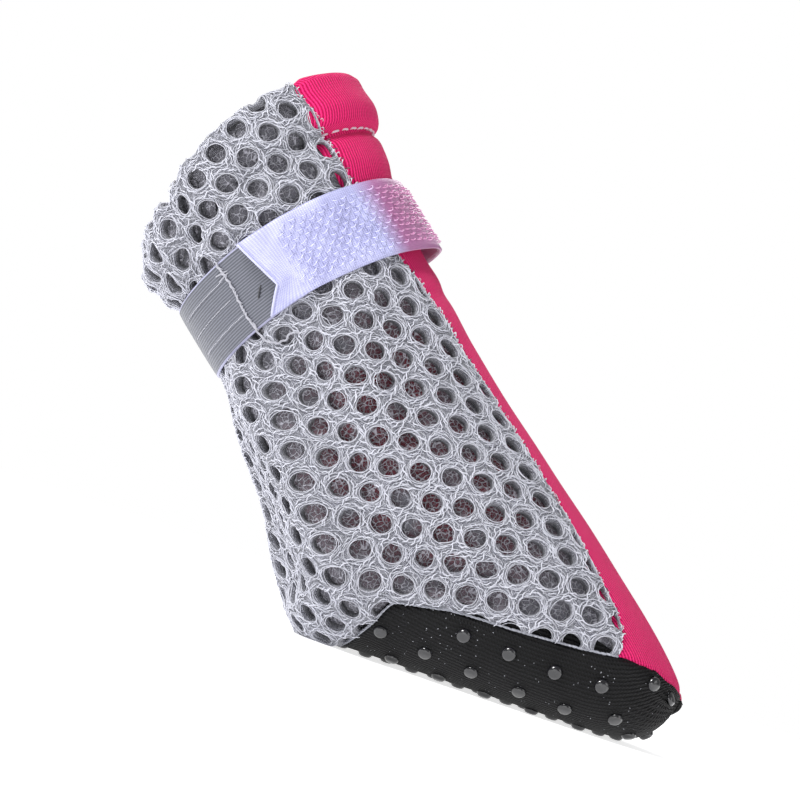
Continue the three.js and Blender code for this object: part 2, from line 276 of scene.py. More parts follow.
def sole_inside(p):
    """How far a point lies inside the sole cup's edge."""
    back = TOE_X - p[..., 0]
    below = np.interp(back, SOLE_SEAM[:, 0], SOLE_SEAM[:, 1]) - p[..., 2]
    within = np.interp(back, SOLE_TAIL[:, 0], SOLE_TAIL[:, 1]) - np.abs(p[..., 1])
    return np.minimum(below, np.where(back > SOLE_TAIL[-1, 0], -9, within))


# %% Seam lines as angles
def edge_angles(places, inside, start, stop):
    """For each place, the angle where a section first leaves a region, on the way from start to stop."""
    angles = np.linspace(start, stop, 721)
    found = []
    for place in places:
        values = inside(last_point(place, angles))
        out = np.nonzero(values < 0)[0]
        if len(out) == 0:
            found.append(stop)
        elif out[0] == 0:
            found.append(start)
        else:
            k = out[0]
            t = values[k - 1] / (values[k - 1] - values[k])
            found.append(angles[k - 1] + t * (angles[k] - angles[k - 1]))
    return np.array(found)


def blur(values, passes=3):
    """Evens out small steps in a row of values."""
    for _ in range(passes):
        values = np.convolve(np.pad(values, 2, mode="edge"), [0.1, 0.2, 0.4, 0.2, 0.1], mode="valid")
    return values


PLACES = np.linspace(-NOSE, COLLAR, 251)
PANEL_EDGE = blur(edge_angles(PLACES, panel_inside, 0.0, math.pi))
SOLE_EDGE = edge_angles(PLACES, sole_inside, math.pi, 0.0)
SOLE_END = PLACES[np.nonzero(SOLE_EDGE < math.pi - 1e-3)[0][-1]]


def panel_edge(place):
    """The angle of the pink panel's edge. It stays the same past the collar."""
    return np.interp(place, PLACES, PANEL_EDGE)


def sole_edge(place):
    """The angle of the sole cup's edge, half a turn where there is no sole."""
    return np.interp(place, PLACES, SOLE_EDGE)


print("panel edge in degrees", np.degrees(panel_edge([1, 3, 6, 9, 12])).round(0))
print("sole ends at", round(SOLE_END, 2))

# %% [markdown]
# ## Making meshes and node trees
# Three small helpers do most of the work. `sheet_of` joins a grid of points into a surface, `node` adds one
# node and fills or links its sockets, and `repeat` puts copies of a small part on many places with Geometry
# Nodes, then keeps the result as a plain mesh.

# %% Mesh helpers
def new_object(name, points, faces, uv=None, material=None):
    """A mesh object from points in millimetres, with one UV layer given per face corner."""
    mesh = bpy.data.meshes.new(name)
    mesh.from_pydata((np.asarray(points) * MM).tolist(), [], faces)
    if uv is not None:
        layer = mesh.uv_layers.new(name="UVMap")
        layer.data.foreach_set("uv", np.asarray(uv, dtype=np.float32).ravel())
    mesh.polygons.foreach_set("use_smooth", [True] * len(mesh.polygons))
    mesh.validate()
    obj = bpy.data.objects.new(name, mesh)
    bpy.context.scene.collection.objects.link(obj)
    if material:
        mesh.materials.append(material)
    return obj


def grid_faces(rows, cols, uv, around=False, flip=False):
    """Quads over a grid, with their UV corners. Around joins the last column to the first."""
    last = cols if around else cols - 1
    faces, corners = [], []
    for r in range(rows - 1):
        for c in range(last):
            d = (c + 1) % cols
            quad = [(r, c, c), (r, d, c + 1), (r + 1, d, c + 1), (r + 1, c, c)]
            if flip:
                quad.reverse()
            faces.append([a * cols + b for a, b, _ in quad])
            corners.extend(uv[a, min(k, uv.shape[1] - 1)] for a, _, k in quad)
    return faces, corners


def sheet_of(name, grid, uv, material=None, flip=False):
    """A surface through a grid of points (rows, columns, 3)."""
    faces, corners = grid_faces(*grid.shape[:2], uv, flip=flip)
    return new_object(name, grid.reshape(-1, 3), faces, corners, material)


def node(tree, kind, inputs=None, **settings):
    """Adds one node. A socket given as an input is linked, and any other value is set."""
    made = tree.nodes.new(kind)
    for key, value in settings.items():
        setattr(made, key, value)
    for key, value in (inputs or {}).items():
        if isinstance(value, bpy.types.NodeSocket):
            tree.links.new(value, made.inputs[key])
        else:
            made.inputs[key].default_value = value
    return made


def finished(obj):
    """The evaluated object as a plain mesh, with its modifiers gone."""
    graph = bpy.context.evaluated_depsgraph_get()
    mesh = bpy.data.meshes.new_from_object(obj.evaluated_get(graph))
    obj.modifiers.clear()
    obj.data = mesh
    mesh.polygons.foreach_set("use_smooth", [True] * len(mesh.polygons))
    return obj


def count(*objs):
    """Prints each piece's triangles."""
    for obj in objs:
        obj.data.calc_loop_triangles()
        print(obj.name, len(obj.data.loop_triangles), "triangles")


# %% A node tree that repeats a small part
REPEAT_INPUTS = {"Geometry": "Geometry", "Part": "Object", "Size Jitter": "Float", "Turn Jitter": "Float",
                 "Seed": "Int", "Material": "Material"}


def repeat_tree():
    """Copies of one part on the points of a mesh, turned by its attributes outward and along."""
    tree = bpy.data.node_groups.new("repeat_part", "GeometryNodeTree")
    for label, kind in REPEAT_INPUTS.items():
        tree.interface.new_socket(label, in_out="INPUT", socket_type="NodeSocket" + kind)
    tree.interface.new_socket("Geometry", in_out="OUTPUT", socket_type="NodeSocketGeometry")
    start = node(tree, "NodeGroupInput")
    part = node(tree, "GeometryNodeObjectInfo", {"Object": start.outputs["Part"]})
    ways = [node(tree, "GeometryNodeInputNamedAttribute", {"Name": label}, data_type="FLOAT_VECTOR")
            for label in ("outward", "along")]
    outward, along = (way.outputs["Attribute"] for way in ways)
    stand = node(tree, "FunctionNodeAlignRotationToVector", {"Vector": outward}, axis="Z")
    lay = node(tree, "FunctionNodeAlignRotationToVector", {
        "Rotation": stand.outputs["Rotation"], "Vector": along}, axis="X", pivot_axis="Z")
    less = node(tree, "ShaderNodeMath", {0: start.outputs["Turn Jitter"], 1: -1.0}, operation="MULTIPLY")
    turn = node(tree, "FunctionNodeRandomValue", {
        "Min": less.outputs[0], "Max": start.outputs["Turn Jitter"], "Seed": start.outputs["Seed"]})
    turn_vector = node(tree, "ShaderNodeCombineXYZ", {"Z": turn.outputs["Value"]})
    euler = node(tree, "FunctionNodeEulerToRotation", {"Euler": turn_vector.outputs[0]})
    turned = node(tree, "FunctionNodeRotateRotation", {
        "Rotation": lay.outputs["Rotation"], "Rotate By": euler.outputs["Rotation"]}, rotation_space="LOCAL")
    small = node(tree, "ShaderNodeMath", {0: 1.0, 1: start.outputs["Size Jitter"]}, operation="SUBTRACT")
    large = node(tree, "ShaderNodeMath", {0: 1.0, 1: start.outputs["Size Jitter"]}, operation="ADD")
    vary = node(tree, "FunctionNodeRandomValue", {
        "Min": small.outputs[0], "Max": large.outputs[0], "Seed": start.outputs["Seed"]})
    dots = node(tree, "GeometryNodeMeshToPoints", {"Mesh": start.outputs["Geometry"]})
    placed = node(tree, "GeometryNodeInstanceOnPoints", {
        "Points": dots.outputs["Points"], "Instance": part.outputs["Geometry"],
        "Rotation": turned.outputs["Rotation"], "Scale": vary.outputs["Value"]})
    real = node(tree, "GeometryNodeRealizeInstances", {"Geometry": placed.outputs["Instances"]})
    dressed = node(tree, "GeometryNodeSetMaterial", {
        "Geometry": real.outputs["Geometry"], "Material": start.outputs["Material"]})
    node(tree, "NodeGroupOutput", {"Geometry": dressed.outputs["Geometry"]})
    return tree


REPEAT = repeat_tree()


# %% Using the tree
def unit(v):
    """Each vector at length 1."""
    return v / (np.linalg.norm(v, axis=-1, keepdims=True) + 1e-9)


def repeat(name, points, outward, along, part, material, size_jitter=0.0, turn_jitter=0.0, seed=1):
    """Copies of a small part: its Z stands outward and its X lies along. The part is drawn in metres."""
    points = np.asarray(points, float)
    obj = new_object(name, points, [])
    mesh = obj.data
    for label, values in (("outward", unit(outward)), ("along", unit(along))):
        layer = mesh.attributes.new(label, "FLOAT_VECTOR", "POINT")
        layer.data.foreach_set("vector", np.asarray(values, np.float32).ravel())
    mod = obj.modifiers.new("repeat", "NODES")
    mod.node_group = REPEAT
    values = {"Part": part, "Size Jitter": size_jitter, "Turn Jitter": turn_jitter, "Seed": seed,
              "Material": material}
    for item in REPEAT.interface.items_tree:
        if item.in_out == "INPUT" and item.name in values:
            mod[item.identifier] = values[item.name]
    return finished(obj)


def little_part(name, points, faces):
    """A small part to repeat. It is kept out of the scene, so only its copies are seen."""
    mesh = bpy.data.meshes.new(name)
    mesh.from_pydata((np.asarray(points) * MM).tolist(), [], faces)
    mesh.polygons.foreach_set("use_smooth", [True] * len(mesh.polygons))
    return bpy.data.objects.new(name, mesh)


# %% Tubes
def tube_points(path, radius, sides, across=(0, 1, 0)):
    """Rings of a tube along a path. The radius can change along it; the path never follows across."""
    path = np.asarray(path, float)
    radius = np.broadcast_to(np.asarray(radius, float), len(path))
    forward = unit(np.gradient(path, axis=0))
    first = unit(np.cross(forward, np.broadcast_to(np.asarray(across, float), path.shape)))
    second = np.cross(forward, first)
    a = np.linspace(0, 2 * math.pi, sides, endpoint=False)
    return path[:, None] + radius[:, None, None] * (
        first[:, None] * np.cos(a)[None, :, None] + second[:, None] * np.sin(a)[None, :, None])


def tube_faces(rings, sides, start=0, closed=True):
    """Quads between the rings, and a cap at each end of a closed tube."""
    faces = [[start + r * sides + k, start + r * sides + (k + 1) % sides,
              start + (r + 1) * sides + (k + 1) % sides, start + (r + 1) * sides + k]
             for r in range(rings - 1) for k in range(sides)]
    if closed:
        faces.append([start + k for k in reversed(range(sides))])
        faces.append([start + (rings - 1) * sides + k for k in range(sides)])
    return faces


def thread(name, paths, radius, material, sides=6, across=(0.13, 1, 0.07)):
    """Round threads along several paths, joined as one piece."""
    points, faces = [], []
    for path in paths:
        ring = tube_points(path, radius, sides, across)
        faces += tube_faces(len(path), sides, start=sum(len(p) for p in points))
        points.append(ring.reshape(-1, 3))
    return new_object(name, np.concatenate(points), faces, None, material)


# %% [markdown]
# ## Materials
# Every cloth is told apart by how it is made: round shiny filaments in the net, matt V-shaped stitches in the
# pink knit, flat glass beads on the reflective tape. Patterns are drawn in real millimetres from a UV map
# that holds cloth millimetres, so they keep their size wherever the cloth bends.

# %% Material helpers
def colour(text):
    """An sRGB hex colour as Blender's linear colour."""
    parts = [int(text[i:i + 2], 16) / 255 for i in (1, 3, 5)]
    return tuple(c / 12.92 if c <= 0.04045 else ((c + 0.055) / 1.055) ** 2.4 for c in parts) + (1.0,)


def new_material(name, base, roughness, **constant):
    """A principled material; the constant values are set on the shader's own sockets."""
    made = bpy.data.materials.new(name)
    made.use_nodes = True
    tree = made.node_tree
    shader = tree.nodes["Principled BSDF"]
    shader.inputs["Base Color"].default_value = colour(base)
    shader.inputs["Roughness"].default_value = roughness
    for key, value in constant.items():
        shader.inputs[key.replace("_", " ").title().replace("Ior", "IOR")].default_value = value
    return made, tree, shader


# %% Pattern helpers
def maths(tree, how, a, b=0.0, c=0.0):
    """One sum with the Math node."""
    return node(tree, "ShaderNodeMath", {0: a, 1: b, 2: c}, operation=how).outputs[0]


def ramp(tree, factor, stops):
    """A colour ramp from (position, hex) stops."""
    made = node(tree, "ShaderNodeValToRGB", {"Fac": factor})
    band = made.color_ramp
    while len(band.elements) < len(stops):
        band.elements.new(0.5)
    for element, (place, text) in zip(band.elements, stops):
        element.position = place
        element.color = colour(text)
    return made.outputs["Color"]


def bump(tree, height, distance, strength=1.0, normal=None):
    """Small relief, its distance in millimetres, on top of another relief if one is given."""
    inputs = {"Height": height, "Distance": distance * MM, "Strength": strength}
    if normal is not None:
        inputs["Normal"] = normal
    return node(tree, "ShaderNodeBump", inputs).outputs["Normal"]


def noise(tree, vector, scale, detail=2.0, rough=0.5):
    """Soft noise; the scale counts patches in a millimetre."""
    return node(tree, "ShaderNodeTexNoise", {
        "Vector": vector, "Scale": scale, "Detail": detail, "Roughness": rough}).outputs["Fac"]


def object_mm(tree):
    """Object coordinates in millimetres."""
    where = node(tree, "ShaderNodeTexCoord").outputs["Object"]
    return node(tree, "ShaderNodeVectorMath", {0: where, "Scale": 1000.0}, operation="SCALE").outputs[0]


def uv_axes(tree):
    """The two directions of the piece's UV map."""
    uv = node(tree, "ShaderNodeUVMap", uv_map="UVMap").outputs["UV"]
    split = node(tree, "ShaderNodeSeparateXYZ", {0: uv})
    return split.outputs["X"], split.outputs["Y"]


def blend(tree, factor, first, second):
    """A mix of two colours, each a hex text or a socket."""
    made = node(tree, "ShaderNodeMix", {"Factor": factor}, data_type="RGBA")
    for socket, value in ((made.inputs[6], first), (made.inputs[7], second)):
        if isinstance(value, str):
            socket.default_value = colour(value)
        else:
            tree.links.new(value, socket)
    return made.outputs[2]


def fade(tree, value, start, stop):
    """0 at start and 1 at stop, clamped outside them."""
    return node(tree, "ShaderNodeMapRange", {"Value": value, "From Min": start, "From Max": stop}).outputs[0]


def wave(tree, value, pitch):
    """A smooth wave from 0 to 1 with the given pitch."""
    s = maths(tree, "SINE", maths(tree, "MULTIPLY", value, 2 * math.pi / pitch))
    return maths(tree, "MULTIPLY_ADD", s, 0.5, 0.5)


# %% [markdown]
# ### The net's yarn
# Air mesh is knitted from bundles of bright polyester filaments. Round each hole the filaments loop over the
# rim; in the middle of a strand they run along it. The UV map holds the distance from the hole's edge in X
# (below zero down the hole's wall) and the turn round the hole in Y, so both directions can be drawn.

# %% Net yarn
LOOPS_ROUND_HOLE = 22
STRAND_PITCH = 0.21    # drawn coarser than the real filament, which is too fine to see


def net_yarn_material():
    """Bright polyester filament, knitted: lighter on the filaments and darker between them, partly painted
    highlight and painted shade, with painted shade down the holes' walls.
    """
    made, tree, shader = new_material(
        "polyester_net_yarn", "#A9ABB4", 0.45, sheen_weight=0.2, sheen_roughness=0.4)
    rho, turn = uv_axes(tree)
    mm = object_mm(tree)
    wobble = noise(tree, mm, 0.9, 3.0)
    strands = wave(tree, maths(tree, "MULTIPLY_ADD", wobble, 0.9, rho), STRAND_PITCH)
    loops = wave(tree, maths(tree, "MULTIPLY_ADD", wobble, 0.16, turn), 1 / LOOPS_ROUND_HOLE)
    mixed = maths(tree, "MULTIPLY_ADD", loops, 0.35, strands)
    fine = noise(tree, mm, 5.0, 3.0, 0.7)
    height = maths(tree, "MULTIPLY_ADD", fine, 0.5, mixed)
    # The tone follows the filament relief: the yarn's own bright and dark, plus painted highlight on the
    # filaments and painted shade in the gaps.
    tone = ramp(tree, maths(tree, "MULTIPLY_ADD", fine, 0.4, maths(tree, "MULTIPLY", mixed, 0.5)), [
        (0.12, "#585961"), (0.45, "#8A8B96"), (0.75, "#B4B5C1"), (1.0, "#E4E5EF")])
    # Down the hole's wall the colour goes to dark grey: painted shade in the hole.
    shade = blend(tree, fade(tree, rho, -0.75, 0.1), "#5C5C63", tone)
    tree.links.new(shade, shader.inputs["Base Color"])
    tree.links.new(bump(tree, height, 0.2, 1.0), shader.inputs["Normal"])
    return made


NET_YARN = net_yarn_material()

# %% Inner net
WARM_PATCH = (3.0, 33.5)    # x and z of the middle of the panel's side


def inner_net_material():
    """The wall's inner face: a fine tangled net over gaps painted dark for the shaded inside of the boot,
    painted shade that turns dark red in mid-panel.
    """
    made, tree, shader = new_material("inner_fine_net", "#77757A", 0.75, sheen_weight=0.1)
    mm = object_mm(tree)
    drift = node(tree, "ShaderNodeTexNoise", {"Vector": mm, "Scale": 0.55, "Detail": 2.0}).outputs["Color"]
    bent = node(tree, "ShaderNodeVectorMath", {0: drift, 1: (1.6, 1.6, 1.6), 2: mm},
                operation="MULTIPLY_ADD").outputs[0]
    webs = []
    for scale, wide in ((1.15, 0.075), (2.1, 0.05)):
        web = node(tree, "ShaderNodeTexVoronoi", {"Vector": bent, "Scale": scale}, feature="DISTANCE_TO_EDGE")
        webs.append(fade(tree, web.outputs["Distance"], wide * 1.5, wide * 0.4))
    net = maths(tree, "MAXIMUM", webs[0], maths(tree, "MULTIPLY", webs[1], 0.55))
    split = node(tree, "ShaderNodeSeparateXYZ", {0: mm})
    dx, dz = (maths(tree, "SUBTRACT", split.outputs[axis], middle) for axis, middle in zip("XZ", WARM_PATCH))
    squares = maths(tree, "ADD", maths(tree, "MULTIPLY", dx, dx), maths(tree, "MULTIPLY", dz, dz))
    centre = fade(tree, maths(tree, "SQRT", squares), 27.0, 14.0)
    patch = fade(tree, noise(tree, mm, 0.2, 2.0), 0.34, 0.5)
    # The gaps are painted shade: dark grey, and dark red in a patch mid-panel.
    gap = blend(tree, maths(tree, "MULTIPLY", centre, patch), "#6E6D76", "#5E1C2C")
    shade = blend(tree, maths(tree, "MULTIPLY", net, 0.85), gap, "#C2C1CC")
    tree.links.new(shade, shader.inputs["Base Color"])
    tree.links.new(bump(tree, net, 0.25), shader.inputs["Normal"])
    return made


INNER_NET = inner_net_material()

# %% [markdown]
# ## The net
# The holes lie in a regular hexagonal pattern on flat cloth, so the side of the boot is first unrolled to a
# flat chart: across a section by its real arc, along the boot by the fan of its sections. The pattern is
# drawn on the chart and each corner is carried back to the last with a few Newton steps. One cell is a
# hexagon with a hole; its profile has a bead round the rim and a wall that goes down to the inner net.

# %% Unroll the side of the boot to a flat chart
CHART_PLACES = np.concatenate([np.linspace(0.6, COLLAR, 115), COLLAR + np.arange(1, 12) * 0.1])
CHART_ANGLES = np.radians(np.linspace(-10, 205, 130))


def make_chart():
    """A flat x and z for each place and angle: real arcs across, the fan of the sections along."""
    place, angle = np.meshgrid(np.minimum(CHART_PLACES, COLLAR), CHART_ANGLES, indexing="ij")
    p = last_point(place, angle)
    steps = np.linalg.norm(np.diff(p, axis=1), axis=-1)
    arc = np.concatenate([np.zeros((len(p), 1)), np.cumsum(steps, 1)], 1)
    quarter = np.array([np.interp(math.pi / 2, CHART_ANGLES, row) for row in arc])
    front, rear, along, ahead = section(place)
    over = np.maximum(CHART_PLACES - COLLAR, 0)[:, None] * LIP_SCALE
    lift = column("side_lift", place) * np.sin(angle) ** 2 + over
    return (front + rear) / 2 + along * (quarter[:, None] - arc)[..., None] + ahead * lift[..., None]


CHART = make_chart()


# %% Back from the chart to the boot
NEWTON_STEPS = 10


def from_chart(target):
    """Place and angle on the last for points of the chart, and how far off the nearest match is."""
    rows, cols = CHART.shape[:2]
    tree = KDTree(rows * cols)
    for k, (x, z) in enumerate(CHART.reshape(-1, 2)):
        tree.insert((x, z, 0.0), k)
    tree.balance()
    start = np.array([tree.find((x, z, 0.0))[1] for x, z in target])
    q, r = (start // cols).astype(float), (start % cols).astype(float)
    for _ in range(NEWTON_STEPS):
        i = np.clip(np.floor(q).astype(int), 0, rows - 2)
        j = np.clip(np.floor(r).astype(int), 0, cols - 2)
        a, b = (q - i)[:, None], (r - j)[:, None]
        c00, c10, c01, c11 = CHART[i, j], CHART[i + 1, j], CHART[i, j + 1], CHART[i + 1, j + 1]
        value = c00 * (1 - a) * (1 - b) + c10 * a * (1 - b) + c01 * (1 - a) * b + c11 * a * b
        dq = (c10 - c00) * (1 - b) + (c11 - c01) * b
        dr = (c01 - c00) * (1 - a) + (c11 - c10) * a
        miss = target - value
        det = dq[:, 0] * dr[:, 1] - dq[:, 1] * dr[:, 0]
        det = np.where(np.abs(det) < 1e-6, 1e-6, det)
        step_q = np.clip((miss[:, 0] * dr[:, 1] - miss[:, 1] * dr[:, 0]) / det, -3, 3)
        step_r = np.clip((dq[:, 0] * miss[:, 1] - dq[:, 1] * miss[:, 0]) / det, -3, 3)
        q, r = np.clip(q + step_q, 0, rows - 1.001), np.clip(r + step_r, 0, cols - 1.001)
    place = np.interp(q, np.arange(rows), CHART_PLACES)
    angle = np.interp(r, np.arange(cols), CHART_ANGLES)
    return place, angle, np.linalg.norm(miss, axis=1)


# %% Hole pattern and the profile of one cell
HOLE_PITCH, ROW_PITCH, ROW_CLIMB = 4.5, 4.05, math.radians(9.6)
HOLE_WIDE, HOLE_HIGH = 1.55, 1.42     # half sizes
FIRST_HOLE = (4.0, 24.0)
ROW_WAY = np.array([math.cos(ROW_CLIMB), math.sin(ROW_CLIMB)])
UP_WAY = np.array([-math.sin(ROW_CLIMB), math.cos(ROW_CLIMB)])
HEX = np.array([(0.5, 0.346), (0, 0.655), (-0.5, 0.346), (-0.5, -0.346), (0, -0.655), (0.5, -0.346)])
HEX = HEX * (HOLE_PITCH, ROW_PITCH)
PER_SIDE = 4
RADIUS_HERE = 18       # a round figure for the ankle's and foot's radius, to turn an angle to millimetres
PROFILE = [  # share of the way from the hole's edge to the strand's middle, height, place in the UV map
    (1.0, 0.22, 1.0), (0.72, 0.26, 0.72), (0.46, 0.30, 0.46), (0.22, 0.30, 0.22), (0.04, 0.12, 0.04),
    (-0.04, -0.3, -0.2), (0.02, -1.2, -1.0)]


def net_cells():
    """Centres of the cells that lie on the side panel, on the chart."""
    grid = [(i + 0.5 * (j % 2), j) for j in range(-12, 34) for i in range(-22, 14)]
    centres = np.array([FIRST_HOLE + ROW_WAY * i * HOLE_PITCH + UP_WAY * j * ROW_PITCH for i, j in grid])
    box_low, box_high = CHART.reshape(-1, 2).min(0) - 1, CHART.reshape(-1, 2).max(0) + 1
    centres = centres[((centres > box_low) & (centres < box_high)).all(1)]
    place, angle, miss = from_chart(centres)
    spare = (angle - panel_edge(place)) * RADIUS_HERE
    in_reach = (miss < 0.8) & (spare > -2.2) & (angle < math.pi + 0.13)
    return centres[in_reach & (sole_inside(last_point(place, angle)) < 2.0)]


def outline_of_cell():
    """The hexagon's border, with a few points along each side."""
    corners = []
    for a, b in zip(HEX, np.roll(HEX, -1, axis=0)):
        corners += [a + (b - a) * t / PER_SIDE for t in range(PER_SIDE)]
    return np.array(corners)


# %% Where the net is cut
def within_panel(place, angle):
    """Cuts the net along the front panel, the back seam and the sole."""
    front = panel_edge(place)
    return np.clip(angle, front + 0.01, np.maximum(sole_edge(place), front + 0.02))


def edge_drop(place, angle):
    """The net is turned under where it meets the sole and the front panel."""
    to_sole = -sole_inside(last_point(place, angle))
    to_panel = (angle - panel_edge(place)) * 17
    return 0.5 * (1 - smooth(to_sole, 0.0, 1.1)) + 0.3 * (1 - smooth(to_panel, 0.0, 0.9))


# %% The net's two sides
CENTRES = net_cells()


def net_panel(name, side, seed):
    """One side's net. Side is -1 near or 1 far; each hole gets its own small changes of shape."""
    gen = np.random.default_rng(seed)
    border = outline_of_cell()
    n = len(border)
    turn = np.arctan2(border[:, 1], border[:, 0])
    flat, heights, faces, corner_uv, known = [], [], [], [], {}
    for centre in CENTRES:
        wide, high = (HOLE_WIDE, HOLE_HIGH) * (1 + gen.normal(0, 0.045, 2))
        shift = gen.normal(0, 0.09, 2)
        lean = gen.normal(0, 0.12)
        rim = np.stack([wide * np.cos(turn - lean), high * np.sin(turn - lean)], 1)
        rim = rim @ np.array([[math.cos(lean), math.sin(lean)], [-math.sin(lean), math.cos(lean)]]) + shift
        rim += gen.normal(0, 0.035, rim.shape)
        rings = []
        for share, height, _ in PROFILE:
            local = rim + (border - rim) * share
            ids = []
            for k in range(n):
                xz = centre + ROW_WAY * local[k, 0] + UP_WAY * local[k, 1]
                key = (round(xz[0], 3), round(xz[1], 3)) if share == 1.0 else None
                if key is None or key not in known:
                    known[key] = len(flat)
                    flat.append(xz)
                    heights.append(height)
                ids.append(known[key])
            rings.append(ids)
        for m in range(len(PROFILE) - 1):
            upper, lower = PROFILE[m][2], PROFILE[m + 1][2]
            for k in range(n):
                d = (k + 1) % n
                faces.append([rings[m][k], rings[m][d], rings[m + 1][d], rings[m + 1][k]])
                corner_uv.append([(upper, k / n), (upper, (k + 1) / n), (lower, (k + 1) / n), (lower, k / n)])
    flat, heights = np.array(flat), np.array(heights)
    place, angle, _ = from_chart(flat)
    angle = within_panel(place, angle)
    points = skin(place, -side * angle, heights - edge_drop(place, angle))
    faces, corner_uv = np.array(faces), np.array(corner_uv)
    a, b, c, d = (points[faces[:, k]] for k in range(4))
    area = np.linalg.norm(np.cross(c - a, d - b), axis=1)
    keep = area > 1e-3
    faces, corner_uv = faces[keep], corner_uv[keep]
    if side > 0:
        faces, corner_uv = faces[:, ::-1], corner_uv[:, ::-1]
    used, faces = np.unique(faces, return_inverse=True)
    return new_object(name, points[used], faces.reshape(-1, 4).tolist(), corner_uv.reshape(-1, 2), NET_YARN)


net_near = net_panel("mesh_net_near", -1, 11)
net_far = net_panel("mesh_net_far", 1, 12)
count(net_near, net_far)

# %% [markdown]
# ## The wall behind the net
# Air mesh is two nets held apart by a springy pile. The inner net is one continuous sheet that runs round the
# heel from panel edge to panel edge, and at the collar it meets the folded lip.

# %% Cloth measured along itself
def lengths_along(grid, axis):
    """The running length of each line of a grid."""
    steps = np.linalg.norm(np.diff(grid, axis=axis), axis=-1)
    start = np.zeros_like(np.take(steps, [0], axis=axis))
    return np.concatenate([start, np.cumsum(steps, axis)], axis)


def cloth_uv(grid):
    """Millimetres across and along the cloth, counted from its middle column and its first row."""
    across = lengths_along(grid, 1)
    across = across - across[:, [grid.shape[1] // 2]]
    along = lengths_along(grid, 0)[:, [grid.shape[1] // 2]]
    return np.stack([across, np.broadcast_to(along, across.shape)], -1)


# %% Inner net sheet
INNER_DEPTH, INNER_FLOOR = 1.25, 1.6    # under the skin, and above the floor


def inner_net():
    places = np.linspace(1.0, COLLAR, 110)[:, None]
    edge = np.minimum(panel_edge(places), math.pi - 0.05)
    share = np.linspace(0, 1, 121)[None, :]
    angle = edge + (2 * math.pi - 2 * edge) * share
    spot = last_point(places, angle)
    grid = skin(places, angle, -INNER_DEPTH - 0.3 * smooth(sole_inside(spot), -0.5, 0.5))
    grid[..., 2] = np.maximum(grid[..., 2], INNER_FLOOR)
    return sheet_of("mesh_inner_net", grid, cloth_uv(grid), INNER_NET)


backing = inner_net()
count(backing)

# %% [markdown]
# ## The pink front panel
# A strip of foam-backed stretch knit runs from the toe to the collar, where its edge is folded over and
# stitched down. Its sides slide under the net's edge. The knit's wales are half a millimetre wide and run
# up the boot; each stitch is a small V, drawn from the two UV axes.

# %% Pink knit
def knit_material(name, dark, mid, light, wale, course, depth):
    """Fine nylon and elastane knit: matt, with a soft edge of light and dark lines between its wales."""
    made, tree, shader = new_material(
        name, mid, 0.78, sheen_weight=0.04, sheen_roughness=0.5, specular_ior_level=0.12)
    u, v = uv_axes(tree)
    mm = object_mm(tree)
    soft = maths(tree, "MULTIPLY_ADD", noise(tree, mm, 0.7, 2.0), 0.25, u)
    wales = wave(tree, soft, wale)
    zigzag = maths(tree, "PINGPONG", maths(tree, "MULTIPLY", soft, 2.0 / wale), 1.0)
    vees = wave(tree, maths(tree, "MULTIPLY_ADD", zigzag, course * 0.7, v), course)
    height = maths(tree, "MULTIPLY_ADD", vees, 0.22, maths(tree, "POWER", wales, 0.6))
    fuzz = noise(tree, mm, 5.0, 3.0, 0.7)
    factor = maths(tree, "MULTIPLY_ADD", fuzz, 0.3, maths(tree, "MULTIPLY", height, 0.5))
    tone = ramp(tree, factor, [(0.1, dark), (0.5, mid), (0.95, light)])
    tree.links.new(tone, shader.inputs["Base Color"])
    broad = bump(tree, noise(tree, mm, 0.25, 2.0), 0.5, 0.5)
    tree.links.new(bump(tree, height, depth, 0.8, broad), shader.inputs["Normal"])
    return made


PINK = knit_material("pink_stretch_knit", "#8A0036", "#DB0E60", "#F44C92", wale=0.55, course=0.5, depth=0.16)

# %% Shape of the panel
TUCK = 0.06       # how far the panel goes on under the sole cloth, as an angle
HEM_THICK = 0.75


def panel_reach(places, spare):
    """The panel's edge as an angle. Round the toe it stops just under the sole cloth."""
    return np.minimum(panel_edge(places), sole_edge(places) + spare)


def panel_height(places, share):
    """The panel's level: low at its sides under the net, thick where the hem is folded."""
    angle = panel_reach(places, TUCK) * share
    below = places - hem_place(angle)
    hem = HEM_THICK * smooth(below, 0.0, 0.12) - 0.25 * bell(below, 0, 0.05)
    free = smooth(places, 2.0, 4.0)
    side = -0.75 * smooth(np.abs(share), 0.9, 1.05) * free - 0.25 * free
    tuck = -0.5 * smooth(np.abs(angle) - sole_edge(places), -0.03, 0.05)
    return side + hem + tuck


def pink_panel():
    """From the tip of the toe, over the folded edge at the collar and down inside."""
    places = np.concatenate([np.linspace(-NOSE, 0.98, 16), np.linspace(1.0, COLLAR, 240),
                             COLLAR + np.linspace(0.03, 1.15, 22)])[:, None]
    share = np.linspace(-1.08, 1.08, 91)[None, :]
    grid = skin(places, panel_reach(places, TUCK) * share, panel_height(places, share))
    return sheet_of("front_panel_knit", grid, cloth_uv(grid), PINK)


pink = pink_panel()
count(pink)

# %% Panel lining
LINING = knit_material("pink_lining_knit", "#8E0A30", "#C4184C", "#D93B6C", wale=0.6, course=0.6, depth=0.08)
LINING_DEPTH = 1.45


def panel_lining():
    """The back of the knit, seen inside the boot."""
    places = np.linspace(0.9, COLLAR - 0.1, 90)[:, None]
    share = np.linspace(-1.1, 1.1, 51)[None, :]
    grid = skin(places, panel_reach(places, 0.1) * share, -LINING_DEPTH)
    return sheet_of("front_panel_lining", grid, cloth_uv(grid), LINING, flip=True)


lining = panel_lining()

# %% [markdown]
# ## The sole
# Black sole cloth is cut to an oval and drawn up round the toe like a cup. It is a fine ribbed knit with a
# few painted glints, small bright specks of painted highlight, and soft plastic dots are moulded on it in
# staggered rows. The boot stands on the dots, so the cloth itself is a little above the floor.

